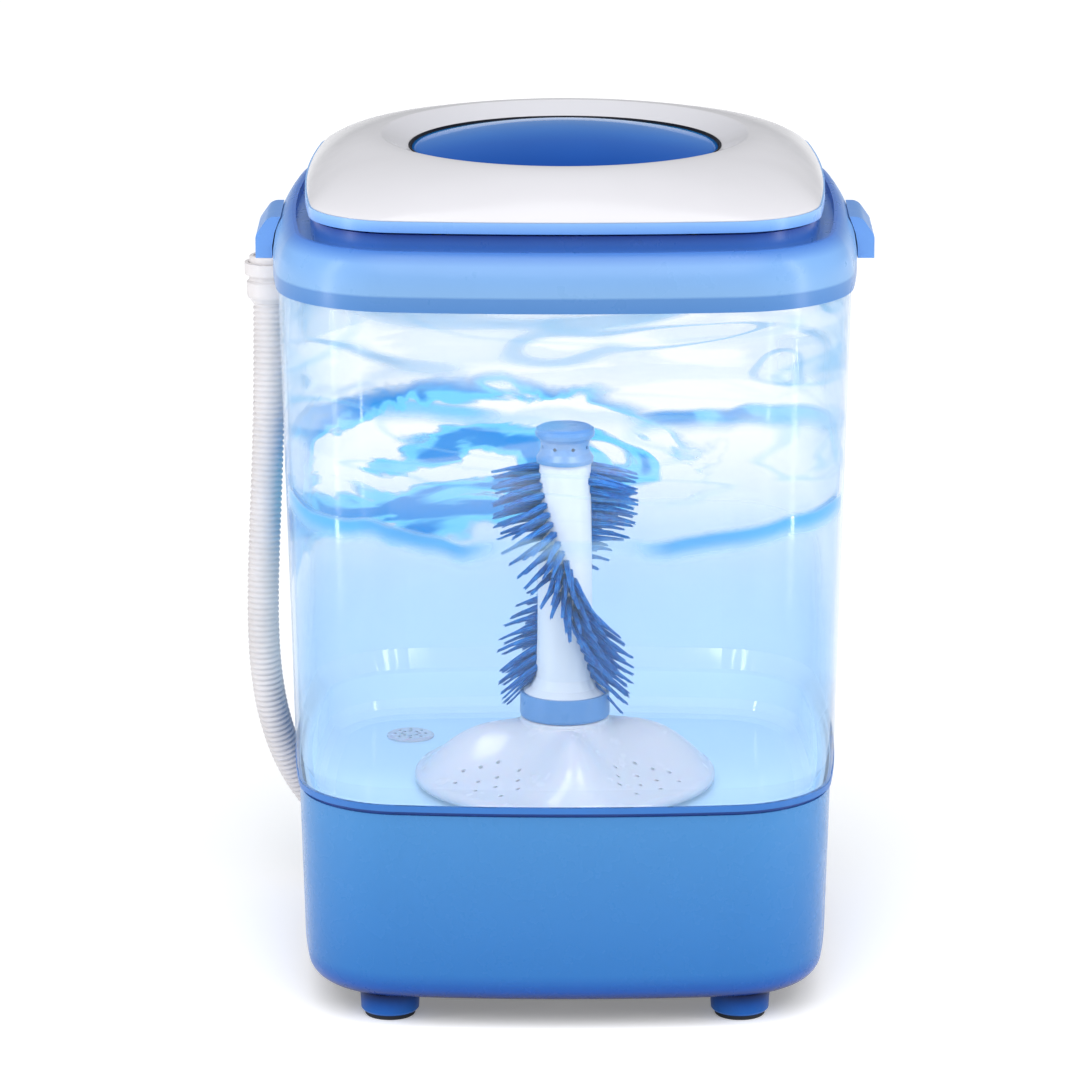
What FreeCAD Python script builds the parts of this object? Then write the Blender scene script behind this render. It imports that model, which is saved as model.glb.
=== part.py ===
import FreeCAD, Part
import math
import os

import Sketcher
from FreeCAD import Placement, Rotation, Vector

# A portable mini washer: a clear tub on a blue base, a collar with a hinged lid, and a brush that
# stands on the pulsator. Millimetres, +Z up, front at -Y, origin on the floor at the centre.

os.makedirs("parts", exist_ok=True)
doc = FreeCAD.newDocument("mini_washer")

# ---------------------------------------------------------------------------------------------
# Driving dimensions. An inset is how far an outline lies inside the collar's own outline.
# ---------------------------------------------------------------------------------------------

DRIVING = {
    # the plan outline that every level of the cabinet shares
    "collar_half": 165.0,
    "side_bow": 907.5,
    "corner_round": 72.0,
    # heights
    "base_low": 15.5,
    "base_top": 126.5,
    "tub_low": 129.0,
    "trim_top": 132.4,
    "collar_low": 415.0,
    "band_top": 423.5,
    "rim_top": 446.6,
    "neck_top": 453.9,
    "lip_low": 455.4,
    "lip_top": 461.5,
    "crest_top": 485.2,
    "lens_top": 487.4,
    # insets
    "base_low_inset": 14.3,
    "base_top_inset": 11.5,
    "tub_low_inset": 9.9,
    "tub_top_inset": 2.4,
    "neck_outer_inset": 21.0,
    "neck_inner_inset": 28.0,
    "lip_inset": 18.3,
    # base
    "base_wall": 2.8,
    "base_floor": 3.0,
    "base_edge_round": 14.0,
    "service_radius": 100.0,
    "cover_radius": 110.0,
    "cover_thick": 2.6,
    "foot_across": 99.0,
    "foot_along": 116.0,
    "foot_radius": 17.0,
    "pad_tall": 3.0,
    # tub
    "tub_wall": 2.6,
    "tub_floor_top": 103.0,
    "tub_floor_thick": 3.0,
    "floor_bore": 16.0,
    # handles
    "handle_half": 25.0,
    "handle_top": 441.2,
    # lid
    "shell_wall": 2.4,
    "crest_radius": 102.4,
    "lens_radius": 87.5,
    "hinge_along": 147.0,
    "hinge_height": 451.0,
    "knuckle_radius": 3.0,
    "hinge_pin_radius": 1.5,
    # pulsator and brush
    "disc_radius": 87.0,
    "disc_low": 106.0,
    "hub_radius": 26.0,
    "hub_top": 143.0,
    "core_radius": 15.6,
    "core_top": 293.5,
    "bristle_reach": 43.0,
    "bristle_low": 162.0,
    "bristle_high": 292.0,
    "bristle_pitch": 230.0,
    # drive
    "shaft_radius": 4.0,
    "pulley_radius": 52.0,
    "pulley_groove": 47.5,
    "motor_pulley_radius": 11.0,
    "motor_groove": 7.8,
    "belt_level": 31.0,
    "motor_across": 92.0,
    "motor_radius": 33.0,
    "motor_middle": 69.0,
    "stator_tall": 30.0,
    # timer, gland and drain
    "timer_across": 75.0,
    "timer_level": 76.0,
    "knob_radius": 19.0,
    "gland_across": 15.0,
    "gland_level": 45.0,
    "gland_bore": 3.6,
    "drain_offset": 92.0,
    "drain_level": 36.0,
    "hose_radius": 9.6,
    "hose_bore": 7.2,
    "cuff_across": 173.5,
    "cuff_along": 100.0,
    "cuff_low": 366.0,
    "cuff_top": 393.8,
}

sheet = doc.addObject("Spreadsheet::Sheet", "dims")
for row, (alias, value) in enumerate(DRIVING.items(), start=1):
    sheet.set("A%d" % row, str(value))
    sheet.setAlias("A%d" % row, alias)
doc.recompute()


class Size:
    """A length together with the sheet expression that gives it."""

    def __init__(self, number, text):
        self.number = number
        self.text = text

    def __add__(self, other):
        return Size(self.number + number(other), "(%s + %s)" % (self.text, text(other)))

    def __sub__(self, other):
        return Size(self.number - number(other), "(%s - %s)" % (self.text, text(other)))

    def __mul__(self, other):
        return Size(self.number * number(other), "(%s * %s)" % (self.text, text(other)))

    def __neg__(self):
        return Size(-self.number, "(-1 * %s)" % self.text)

    def __radd__(self, other):
        return plain(other) + self

    def __rsub__(self, other):
        return plain(other) - self

    def __rmul__(self, other):
        return self * other


def plain(value):
    return Size(float(value), "(%.6f)" % value)


def number(value):
    return value.number if isinstance(value, Size) else float(value)


def text(value):
    return value.text if isinstance(value, Size) else "(%.6f)" % value


class Dims:
    """Every driving dimension as a Size, read as dims.alias."""


dims = Dims()
for alias, value in DRIVING.items():
    setattr(dims, alias, Size(value, "dims." + alias))

nodes = []


def node(thing, label):
    """Marks a finished object as a sub-part; its label names its file."""
    thing.Label = label
    nodes.append(thing)
    return thing


# ---------------------------------------------------------------------------------------------
# Sketches
# ---------------------------------------------------------------------------------------------

def new_sketch(body, name, plane, lift):
    """A sketch on one of the body's own origin planes, moved along the plane's normal."""
    sketch = body.newObject("Sketcher::SketchObject", name)
    support = [feature for feature in body.Origin.OriginFeatures if feature.Role == plane]
    sketch.AttachmentSupport = [(support[0], "")]
    sketch.MapMode = "FlatFace"
    sketch.setExpression("AttachmentOffset.Base.z", text(lift))
    return sketch


def constrain(sketch, kind, references, size):
    """A dimension that follows the sheet."""
    index = sketch.addConstraint(Sketcher.Constraint(kind, *references, number(size)))
    sketch.setExpression("Constraints[%d]" % index, text(size))


def polygon(sketch, corners):
    """A closed outline of straight edges, each corner held by two dimensions from the origin."""
    first = sketch.GeometryCount
    count = len(corners)
    points = [Vector(number(across), number(up), 0) for across, up in corners]
    for place in range(count):
        sketch.addGeometry(Part.LineSegment(points[place], points[(place + 1) % count]), False)
    for place in range(count):
        after = first + (place + 1) % count
        sketch.addConstraint(Sketcher.Constraint("Coincident", first + place, 2, after, 1))
    for place, (across, up) in enumerate(corners):
        if number(across) == 0:
            sketch.addConstraint(Sketcher.Constraint("PointOnObject", first + place, 1, -2))
        else:
            constrain(sketch, "DistanceX", (-1, 1, first + place, 1), across)
        constrain(sketch, "DistanceY", (-1, 1, first + place, 1), up)


def circle(sketch, radius, across=0.0, up=0.0):
    index = sketch.addGeometry(
        Part.Circle(Vector(number(across), number(up), 0), Vector(0, 0, 1), number(radius)), False)
    constrain(sketch, "Radius", (index,), radius)
    constrain(sketch, "DistanceX", (-1, 1, index, 3), across)
    constrain(sketch, "DistanceY", (-1, 1, index, 3), up)


def corner_centre(side_offset, radius_step):
    """Where a corner arc's centre lies on both axes, for side arcs centred side_offset back."""
    return (math.sqrt(2 * radius_step ** 2 - side_offset ** 2) - side_offset) / 2


SIDE_OFFSET = dims.side_bow - dims.collar_half
CORNER = corner_centre(SIDE_OFFSET.number, DRIVING["side_bow"] - DRIVING["corner_round"])
SIDE_HALF_ANGLE = math.atan2(CORNER, CORNER + SIDE_OFFSET.number)


def outline_arcs(inset):
    """The rounded-square plan outline as eight arcs: (centre, radius, from, to), side then corner."""
    arcs = []
    for quarter in range(4):
        facing = quarter * math.pi / 2
        side_centre = Vector(-math.cos(facing), -math.sin(facing), 0) * SIDE_OFFSET.number
        arcs.append((side_centre, DRIVING["side_bow"] - number(inset),
                     facing - SIDE_HALF_ANGLE, facing + SIDE_HALF_ANGLE))
        diagonal = facing + math.pi / 4
        corner = Vector(math.cos(diagonal), math.sin(diagonal), 0) * (CORNER * math.sqrt(2))
        arcs.append((corner, DRIVING["corner_round"] - number(inset),
                     facing + SIDE_HALF_ANGLE, facing + math.pi / 2 - SIDE_HALF_ANGLE))
    return arcs


def outline(sketch, inset):
    """Draws the plan outline: eight tangent arcs, side arcs centred on the axes."""
    first = sketch.GeometryCount
    for centre, radius, start, end in outline_arcs(inset):
        sketch.addGeometry(
            Part.ArcOfCircle(Part.Circle(centre, Vector(0, 0, 1), radius), start, end), False)
    for place in range(8):
        after = first + (place + 1) % 8
        sketch.addConstraint(Sketcher.Constraint("Tangent", first + place, 2, after, 1))
    centre_back = {0: ("DistanceX", False), 2: ("DistanceY", False),
                   4: ("DistanceX", True), 6: ("DistanceY", True)}
    for place, (kind, positive) in centre_back.items():
        side = first + place
        references = (-1, 1, side, 3) if positive else (side, 3, -1, 1)
        constrain(sketch, kind, references, SIDE_OFFSET)
        sketch.addConstraint(Sketcher.Constraint(
            "PointOnObject", side, 3, -1 if kind == "DistanceX" else -2))
        constrain(sketch, "Radius", (side,), dims.side_bow - inset)
        constrain(sketch, "Radius", (side + 1,), dims.corner_round - inset)


# ---------------------------------------------------------------------------------------------
# Features of a PartDesign body
# ---------------------------------------------------------------------------------------------

def new_body(name):
    return doc.addObject("PartDesign::Body", name + "_body")


def finish_feature(feature, volume_before, adds):
    """Recomputes and makes sure that the feature really added or took material."""
    doc.recompute()
    volume = feature.Shape.Volume
    if (volume > volume_before) != adds or abs(volume - volume_before) < 0.01:
        raise RuntimeError("%s changed nothing: %.2f to %.2f" % (feature.Name, volume_before, volume))
    return feature


def tip_volume(body):
    return body.Tip.Shape.Volume if body.Tip else 0.0


def outline_pad(body, name, low, high, insets, cut=False):
    """A prism, or a pocket, of the plan outline; two insets make a ring."""
    before = tip_volume(body)
    sketch = new_sketch(body, name + "_sketch", "XY_Plane", low)
    for inset in insets:
        outline(sketch, inset)
    feature = body.newObject("PartDesign::Pocket" if cut else "PartDesign::Pad", name)
    feature.Profile = sketch
    feature.Reversed = cut
    feature.setExpression("Length", text(high - low))
    return finish_feature(feature, before, not cut)


def outline_loft(body, name, sections, cut=False, smooth=False):
    """A loft of plan outlines, given as (height, inset), from the lowest up."""
    before = tip_volume(body)
    sketches = []
    for place, (height, inset) in enumerate(sections):
        sketch = new_sketch(body, "%s_section_%d" % (name, place), "XY_Plane", height)
        outline(sketch, inset)
        sketches.append(sketch)
    doc.recompute()
    kind = "PartDesign::SubtractiveLoft" if cut else "PartDesign::AdditiveLoft"
    loft = body.newObject(kind, name)
    loft.Profile = sketches[0]
    loft.Sections = sketches[1:]
    loft.Ruled = not smooth
    return finish_feature(loft, before, not cut)


def round_edges(body, name, radius, wanted):
    """A fillet on the tip's edges that the test picks."""
    before = tip_volume(body)
    base = body.Tip
    edges = ["Edge%d" % place for place, edge in enumerate(base.Shape.Edges, start=1) if wanted(edge)]
    fillet = body.newObject("PartDesign::Fillet", name)
    fillet.Base = (base, edges)
    fillet.setExpression("Radius", text(radius))
    return finish_feature(fillet, before, False)


def revolve(body, name, corners):
    """A solid of revolution about the body's own Z axis."""
    before = tip_volume(body)
    sketch = new_sketch(body, name + "_sketch", "XZ_Plane", 0.0)
    polygon(sketch, corners)
    feature = body.newObject("PartDesign::Revolution", name)
    feature.Profile = sketch
    feature.ReferenceAxis = (sketch, ["V_Axis"])
    feature.Angle = 360.0
    return finish_feature(feature, before, True)


def polar(body, name, feature, count):
    """Repeats a feature round the body's Z axis."""
    before = tip_volume(body)
    pattern = body.newObject("PartDesign::PolarPattern", name)
    pattern.Originals = [feature]
    axis = [item for item in body.Origin.OriginFeatures if item.Role == "Z_Axis"]
    pattern.Axis = (axis[0], [""])
    pattern.Angle = 360.0
    pattern.Occurrences = count
    body.Tip = pattern
    doc.recompute()
    if abs(pattern.Shape.Volume - before) < 0.01:
        raise RuntimeError("%s repeated nothing" % name)
    return pattern


def place_at(thing, position, axis=Vector(0, 0, 1)):
    """Puts an object at a position that follows the sheet, its own Z turned to the axis."""
    thing.Placement = Placement(Vector(*[number(part) for part in position]),
                                Rotation(Vector(0, 0, 1), axis))
    for name, part in zip("xyz", position):
        thing.setExpression("Placement.Base." + name, text(part))
    return thing


def turned(label, corners, position=(0.0, 0.0, 0.0), axis=Vector(0, 0, 1)):
    """A turned sub-part; its profile is given as (radius, height) corners."""
    body = new_body(label)
    revolve(body, label + "_turn", corners)
    return place_at(body, position, axis)


# ---------------------------------------------------------------------------------------------
# Part primitives and booleans
# ---------------------------------------------------------------------------------------------

def cylinder(name, radius, tall, position, axis=Vector(0, 0, 1)):
    rod = doc.addObject("Part::Cylinder", name)
    rod.setExpression("Radius", text(radius))
    rod.setExpression("Height", text(tall))
    return place_at(rod, position, axis)


def block(name, low, high):
    """A box between two opposite corners."""
    box = doc.addObject("Part::Box", name)
    for prop, start, end in zip(("Length", "Width", "Height"), low, high):
        box.setExpression(prop, text(plain(0) + end - start))
    return place_at(box, low)


def cut(name, base, *tools):
    """Takes the tools away from the base."""
    result = doc.addObject("Part::Cut", name)
    result.Base = base
    result.Tool = tools[0] if len(tools) == 1 else fuse(name + "_tools", *tools)
    doc.recompute()
    if result.Shape.Volume > base.Shape.Volume - 0.01:
        raise RuntimeError("%s took nothing away" % name)
    return result


def fuse(name, *pieces):
    result = doc.addObject("Part::MultiFuse", name)
    result.Shapes = list(pieces)
    doc.recompute()
    return result


def group(name, pieces):
    """Identical separate solids kept as one sub-part."""
    result = doc.addObject("Part::Compound", name)
    result.Links = list(pieces)
    return result


def shaped(name, shape, position=Vector(0, 0, 0)):
    """A sub-part whose free form has no feature of its own."""
    feature = doc.addObject("Part::Feature", name)
    feature.Shape = shape
    feature.Placement = Placement(position, Rotation())
    return feature


def screw(name, position, head_radius, head_tall, shank_radius, shank_long, axis=Vector(0, 0, 1)):
    """A round-headed screw; the axis runs from the head into the work."""
    reach = [part + step * head_tall for part, step in zip(position, axis)]
    return fuse(name, cylinder(name + "_head", head_radius, head_tall, position, axis),
                cylinder(name + "_shank", shank_radius, shank_long, reach, axis))


# ---------------------------------------------------------------------------------------------
# Base
# ---------------------------------------------------------------------------------------------

BACK = Vector(0, 1, 0)
CORNER_WAY = Vector(-1, 1, 0) / math.sqrt(2)
SCREW_SHANK = 1.6
SCREW_HOLE = 1.75


def cover_screw_places():
    return [(104 * math.cos(turn), 104 * math.sin(turn))
            for turn in (math.radians(60 * step + 30) for step in range(6))]


def base_housing():
    """The blue lower cabinet: tapered walls, rounded bottom edge, service opening and rear holes."""
    body = new_body("base_housing")
    edge, low, inset = dims.base_edge_round, dims.base_low, dims.base_low_inset
    curl = [(math.sin(turn), math.cos(turn)) for turn in (math.radians(18 * step) for step in range(6))]
    outline_loft(body, "base_edge", [(low + edge * (1 - level), inset + edge * (1 - out))
                                     for out, level in curl], smooth=True)
    outline_loft(body, "base_outside", [(low + edge, inset), (dims.base_top, dims.base_top_inset)])
    inside = edge - dims.base_wall
    floor = dims.base_floor - dims.base_wall
    under = low + floor + edge
    outline_loft(body, "base_inside_edge", [(under - inside * level, inset + edge - inside * out)
                                            for out, level in curl], cut=True)
    outline_loft(body, "base_inside", [(under - 0.01, inset + dims.base_wall),
                                       (dims.base_top, dims.base_top_inset + dims.base_wall)], cut=True)
    rear = dims.collar_half - 32.0
    tools = [cylinder("service_opening", dims.service_radius, dims.base_floor + 4.0,
                      (0.0, 0.0, dims.base_low - 2.0)),
             cylinder("timer_hole", 5.0, 40.0, (dims.timer_across, rear, dims.timer_level), BACK),
             cylinder("gland_hole", 7.1, 40.0, (dims.gland_across, rear, dims.gland_level), BACK),
             cylinder("outlet_hole", 8.2, 30.0, (-118.0, 118.0, dims.drain_level), CORNER_WAY)]
    for across, along in cover_screw_places():
        tools.append(cylinder("cover_screw_hole", SCREW_HOLE, 8.0, (across, along, dims.base_low - 2.0)))
    for step in range(6):
        level = 40.0 + 7.0 * step
        tools.append(block("louvre", (-70.0, rear, level), (-24.0, dims.collar_half, level + 2.8)))
    node(cut("base_housing", body, *tools), "base_housing")


def bottom_cover():
    """The round service cover under the base, with ventilation holes, and its six screws."""
    low = dims.base_low - dims.cover_thick
    body = new_body("bottom_cover")
    revolve(body, "cover_disc", [(0, low), (dims.cover_radius - 1.0, low), (dims.cover_radius, low + 1.0),
                                 (dims.cover_radius, dims.base_low), (0, dims.base_low)])
    for ring, (count, reach) in enumerate(((24, 78.0), (16, 56.0), (10, 34.0))):
        before = tip_volume(body)
        sketch = new_sketch(body, "vent_sketch_%d" % ring, "XY_Plane", low - 1.0)
        circle(sketch, 3.2, reach, 0.0)
        vent = body.newObject("PartDesign::Pocket", "vent_%d" % ring)
        vent.Profile = sketch
        vent.Reversed = True
        vent.setExpression("Length", text(dims.cover_thick + 2.0))
        finish_feature(vent, before, False)
        polar(body, "vents_%d" % ring, vent, count)
    holes = [cylinder("cover_hole", SCREW_HOLE, 8.0, (across, along, low - 2.0))
             for across, along in cover_screw_places()]
    node(cut("bottom_cover", body, *holes), "bottom_cover")
    screws = [screw("cover_screw", (across, along, low - 1.8), 3.4, 1.7, SCREW_SHANK, 7.0)
              for across, along in cover_screw_places()]
    node(group("bottom_cover_screws", screws), "bottom_cover_screws")


def feet():
    """Four round feet under the corners, each on a rubber pad."""
    pads = []
    for side, across in (("left", -dims.foot_across), ("right", dims.foot_across)):
        for end, along in (("front", -dims.foot_along), ("rear", dims.foot_along)):
            label = "foot_%s_%s" % (end, side)
            corners = [(0, dims.pad_tall), (dims.foot_radius - 1.6, dims.pad_tall),
                       (dims.foot_radius - 0.6, dims.pad_tall + 1.2),
                       (dims.foot_radius, dims.base_low - 0.1), (0, dims.base_low - 0.1)]
            node(turned(label, corners, (across, along, 0.0)), label)
            pads.append(turned("foot_pad_%s_%s" % (end, side),
                               [(0, 0), (13.6, 0), (14.2, 0.6), (14.2, dims.pad_tall), (0, dims.pad_tall)],
                               (across, along, 0.0)))
    node(group("foot_pads", pads), "foot_pads")


def seam():
    """The gasket between base and tub, and the trim ring that hides it."""
    gasket = new_body("seam_gasket")
    outline_pad(gasket, "gasket_ring", dims.base_top, dims.tub_low,
                [dims.base_top_inset + 0.9, dims.base_top_inset + dims.base_wall])
    node(gasket, "seam_gasket")
    trim = new_body("tub_trim")
    outline_pad(trim, "trim_ring", dims.tub_low, dims.trim_top,
                [dims.tub_low_inset - 0.3, dims.tub_low_inset + 2.0])
    node(trim, "tub_trim")


# ---------------------------------------------------------------------------------------------
# Tub and collar
# ---------------------------------------------------------------------------------------------

HOUSING_SCREWS = [(28 * math.cos(turn), 28 * math.sin(turn))
                  for turn in (math.radians(90 * step + 45) for step in range(4))]
BRACKET_SCREWS = [(across, along) for across in (61.0, 123.0) for along in (-25.0, 25.0)]


def tub():
    """The clear tub: slightly flared walls, and a basin that drops into the base."""
    body = new_body("tub")
    outline_loft(body, "tub_outside", [(dims.trim_top, dims.tub_low_inset),
                                       (dims.collar_low, dims.tub_top_inset)])
    outline_pad(body, "tub_upstand", dims.collar_low - 0.5, dims.collar_low + 6.0,
                [dims.tub_top_inset + 0.8])
    outline_pad(body, "tub_flange", dims.tub_low, dims.trim_top + 0.5, [dims.tub_low_inset + 2.1])
    floor_low = dims.tub_floor_top - dims.tub_floor_thick
    outline_loft(body, "basin_outside", [(floor_low, dims.tub_low_inset + 7.6),
                                         (dims.tub_low + 1.0, dims.tub_low_inset + 6.6)])
    basin = dims.tub_low_inset + 9.2
    outline_loft(body, "tub_inside", [(dims.tub_floor_top, basin + 13.0),
                                      (dims.tub_floor_top + 1.6, basin + 7.0),
                                      (dims.tub_floor_top + 4.6, basin + 3.0),
                                      (dims.tub_floor_top + 10.0, basin + 0.9),
                                      (dims.tub_low + 2.0, basin),
                                      (dims.tub_low + 13.0, dims.tub_low_inset + 2.4),
                                      (dims.collar_low + 6.0, dims.tub_top_inset + dims.tub_wall)],
                 cut=True)
    tools = [cylinder("floor_bore_tool", dims.floor_bore, 12.0, (0.0, 0.0, floor_low - 3.0)),
             cylinder("drain_hole", 11.0, 12.0, (-dims.drain_offset, dims.drain_offset, floor_low - 3.0))]
    for across, along in HOUSING_SCREWS + BRACKET_SCREWS:
        tools.append(cylinder("floor_pilot", SCREW_HOLE, 3.3, (across, along, floor_low - 1.0)))
    node(cut("tub", body, *tools), "tub")


def collar_frame():
    """The blue collar: band, rounded shoulder, rim channel and the neck that the lid closes on."""
    body = new_body("collar_frame")
    outline_pad(body, "band", dims.collar_low, dims.band_top, [plain(0)])
    outline_loft(body, "shoulder", [(dims.band_top, plain(0)), (dims.band_top + 9.0, plain(1.5)),
                                    (dims.band_top + 15.0, plain(3.7)), (dims.band_top + 19.0, plain(6.2)),
                                    (dims.band_top + 21.6, plain(8.6)), (dims.rim_top, plain(11.0))],
                 smooth=True)
    outline_pad(body, "mouth", dims.collar_low, dims.rim_top + 1.0, [dims.neck_inner_inset], cut=True)
    channel_low = dims.rim_top - 5.6
    outline_pad(body, "channel", channel_low, dims.rim_top + 1.0,
                [plain(13.0), dims.neck_outer_inset], cut=True)
    outline_pad(body, "neck", channel_low, dims.neck_top, [dims.neck_outer_inset, dims.neck_inner_inset])
    under = dims.neck_inner_inset - dims.tub_wall
    for level, (low, high, outer) in enumerate(((0.0, 6.4, 2.8), (6.4, 15.0, 4.6), (15.0, 23.4, 8.4))):
        outline_pad(body, "underside_%d" % level, dims.collar_low + low, dims.collar_low + high,
                    [plain(outer), under], cut=True)
    knuckles = []
    for side in (-1, 1):
        for start, end in ((33.0, 37.7), (52.3, 57.0)):
            low = start if side > 0 else -end
            knuckles.append(cylinder("collar_knuckle", dims.knuckle_radius, end - start,
                                     (low, dims.hinge_along, dims.hinge_height), Vector(1, 0, 0)))
            knuckles.append(block("knuckle_post", (low, dims.hinge_along - 2.4, channel_low - 0.5),
                                  (low + end - start, dims.hinge_along + 2.4, dims.hinge_height)))
    frame = fuse("collar_with_knuckles", body, *knuckles)
    bores = [cylinder("collar_pin_bore", dims.hinge_pin_radius + 0.02, 26.0,
                      (low, dims.hinge_along, dims.hinge_height), Vector(1, 0, 0)) for low in (-58.0, 32.0)]
    node(cut("collar_frame", frame, *bores), "collar_frame")


def handles():
    """Hooded carry handles on both sides, open below for the fingers."""
    for side, label in ((-1, "handle_left"), (1, "handle_right")):
        body = new_body(label)
        sketch = new_sketch(body, label + "_profile", "XZ_Plane", 0.0)
        half, low = dims.collar_half, dims.collar_low + 2.5
        corners = [(half + 0.25, low), (half + 0.25, dims.band_top + 1.0), (half - 1.1, dims.band_top + 8.5),
                   (half - 3.3, dims.band_top + 14.5), (half - 4.7, dims.handle_top),
                   (half + 2.2, dims.handle_top), (half + 9.7, dims.rim_top - 16.0), (half + 9.7, low)]
        polygon(sketch, [(across * side, up) for across, up in corners])
        pad = body.newObject("PartDesign::Pad", label + "_hood")
        pad.Profile = sketch
        pad.Midplane = True
        pad.setExpression("Length", text(dims.handle_half * 2.0))
        finish_feature(pad, 0.0, True)
        bends = {round(DRIVING["collar_half"] + 2.2, 2), round(DRIVING["collar_half"] + 9.7, 2)}
        round_edges(body, label + "_round", 7.0, lambda edge: edge.BoundBox.YLength > 40
                    and round(abs(edge.CenterOfMass.x), 2) in bends and edge.CenterOfMass.z > 420)
        start = half + 2.7 if side > 0 else -half - 7.3
        reach = dims.handle_half - 4.0
        pocket = block(label + "_pocket", (start, -reach, low - 1.0),
                       (start + 4.6, reach, dims.band_top + 8.0))
        node(cut(label, body, pocket), label)


def hinge_pins():
    """Two steel pins on the lid's axis."""
    for label, low in (("hinge_pin_left", -57.5), ("hinge_pin_right", 32.5)):
        pin = cylinder(label, dims.hinge_pin_radius - 0.02, 25.0,
                       (low, dims.hinge_along, dims.hinge_height), Vector(1, 0, 0))
        node(pin, label)


def lid_buffers():
    """Four rubber buffers on the neck, on which the closed lid lands."""
    tall = dims.lip_low - dims.neck_top - 0.3
    places = [(-70.0, -137.6), (70.0, -137.6), (-139.6, 40.0), (139.6, 40.0)]
    buffers = [cylinder("lid_buffer", 2.6, tall, (across, along, dims.neck_top))
               for across, along in places]
    node(group("lid_buffers", buffers), "lid_buffers")


# ---------------------------------------------------------------------------------------------
# Lid
# ---------------------------------------------------------------------------------------------

def lid_frame():
    """The blue lip ring under the lid, its plug skirt and the lid's hinge knuckles."""
    body = new_body("lid_frame")
    outline_pad(body, "lip_ring", dims.lip_low, dims.lip_top, [dims.lip_inset, plain(40.0)])
    outline_pad(body, "plug_skirt", dims.rim_top + 0.4, dims.lip_low + 0.5, [plain(30.4), plain(33.0)])
    knuckles = []
    for low in (-52.0, 38.0):
        knuckles.append(cylinder("lid_knuckle", dims.knuckle_radius, 14.0,
                                 (low, dims.hinge_along, dims.hinge_height), Vector(1, 0, 0)))
        knuckles.append(block("lid_knuckle_web", (low, dims.hinge_along - 3.0, dims.hinge_height),
                              (low + 14.0, dims.hinge_along - 0.6, dims.lip_low + 1.0)))
    frame = fuse("lid_frame_with_knuckles", body, *knuckles)
    bores = [cylinder("lid_pin_bore", dims.hinge_pin_radius + 0.04, 16.0,
                      (low - 1.0, dims.hinge_along, dims.hinge_height), Vector(1, 0, 0))
             for low in (-52.0, 38.0)]
    node(cut("lid_frame", frame, *bores), "lid_frame")


def dome_wire(inset, share, height, crest):
    """A plan outline that turns from the lid's rounded square into the crest's circle."""
    edges = []
    corner = CORNER * (1 - share)
    side_offset = SIDE_OFFSET.number * (1 - share) ** 3
    half = (DRIVING["collar_half"] - inset) * (1 - share) + crest * share
    side_radius = side_offset + half
    half_angle = math.atan2(corner, corner + side_offset) if corner > 0.01 else math.radians(6.07)
    for quarter in range(4):
        facing = quarter * math.pi / 2
        centre = Vector(-math.cos(facing), -math.sin(facing), 0) * side_offset
        corner_radius = side_radius - math.hypot(corner, corner + side_offset)
        diagonal = facing + math.pi / 4
        corner_at = Vector(math.cos(diagonal), math.sin(diagonal), 0) * (corner * math.sqrt(2))
        for middle, radius, start, end in (
                (centre, side_radius, facing - half_angle, facing + half_angle),
                (corner_at, corner_radius, facing + half_angle, facing + math.pi / 2 - half_angle)):
            ring = Part.Circle(middle + Vector(0, 0, height), Vector(0, 0, 1), radius)
            edges.append(Part.ArcOfCircle(ring, start, end).toShape())
    return Part.Wire(edges)


def dome(step_in, lower):
    """The lid's convex top as a solid; step_in and lower shrink it for the inside."""
    low = DRIVING["lip_top"]
    rise = DRIVING["crest_top"] - low - lower
    wires = []
    for share in [(step / 14) ** 1.4 for step in range(15)]:
        height = low + rise * math.sin(share * math.pi / 2) ** 0.82
        wires.append(dome_wire(DRIVING["lip_inset"] + 0.8 + step_in, share, height,
                               DRIVING["crest_radius"] + 3.0 - step_in))
    return Part.makeLoft(wires, True, True)


def lathe(corners):
    """A turned solid about the Z axis from (radius, height) corners."""
    points = [Vector(radius, 0, height) for radius, height in corners]
    face = Part.Face(Part.makePolygon(points + points[:1]))
    return face.revolve(Vector(0, 0, 0), Vector(0, 0, 1), 360)


def lid_shell():
    """The white dome of the lid, with the recess that frames the lens."""
    crest, radius = DRIVING["crest_top"], DRIVING["crest_radius"]
    wall, seat = DRIVING["shell_wall"], DRIVING["lens_radius"] + 1.0
    well = crest - 6.7
    recess = lathe([(0, well - 2.0), (seat, well - 2.0), (seat, well), (radius, crest),
                    (radius, crest + 5), (0, crest + 5)])
    under_recess = lathe([(0, well - 2.0 - wall), (seat + 2.0, well - 2.0 - wall),
                          (radius + 3.0, crest - wall - 1.0), (radius + 3.0, crest + 5), (0, crest + 5)])
    hollow = dome(wall, wall).cut(under_recess)
    shell = dome(0.0, 0.0).cut(recess).cut(hollow)
    opening = Part.makeCylinder(seat - 5.0, 40.0, Vector(0, 0, DRIVING["lip_top"]))
    node(shaped("lid_shell", shell.cut(opening)), "lid_shell")


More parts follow.
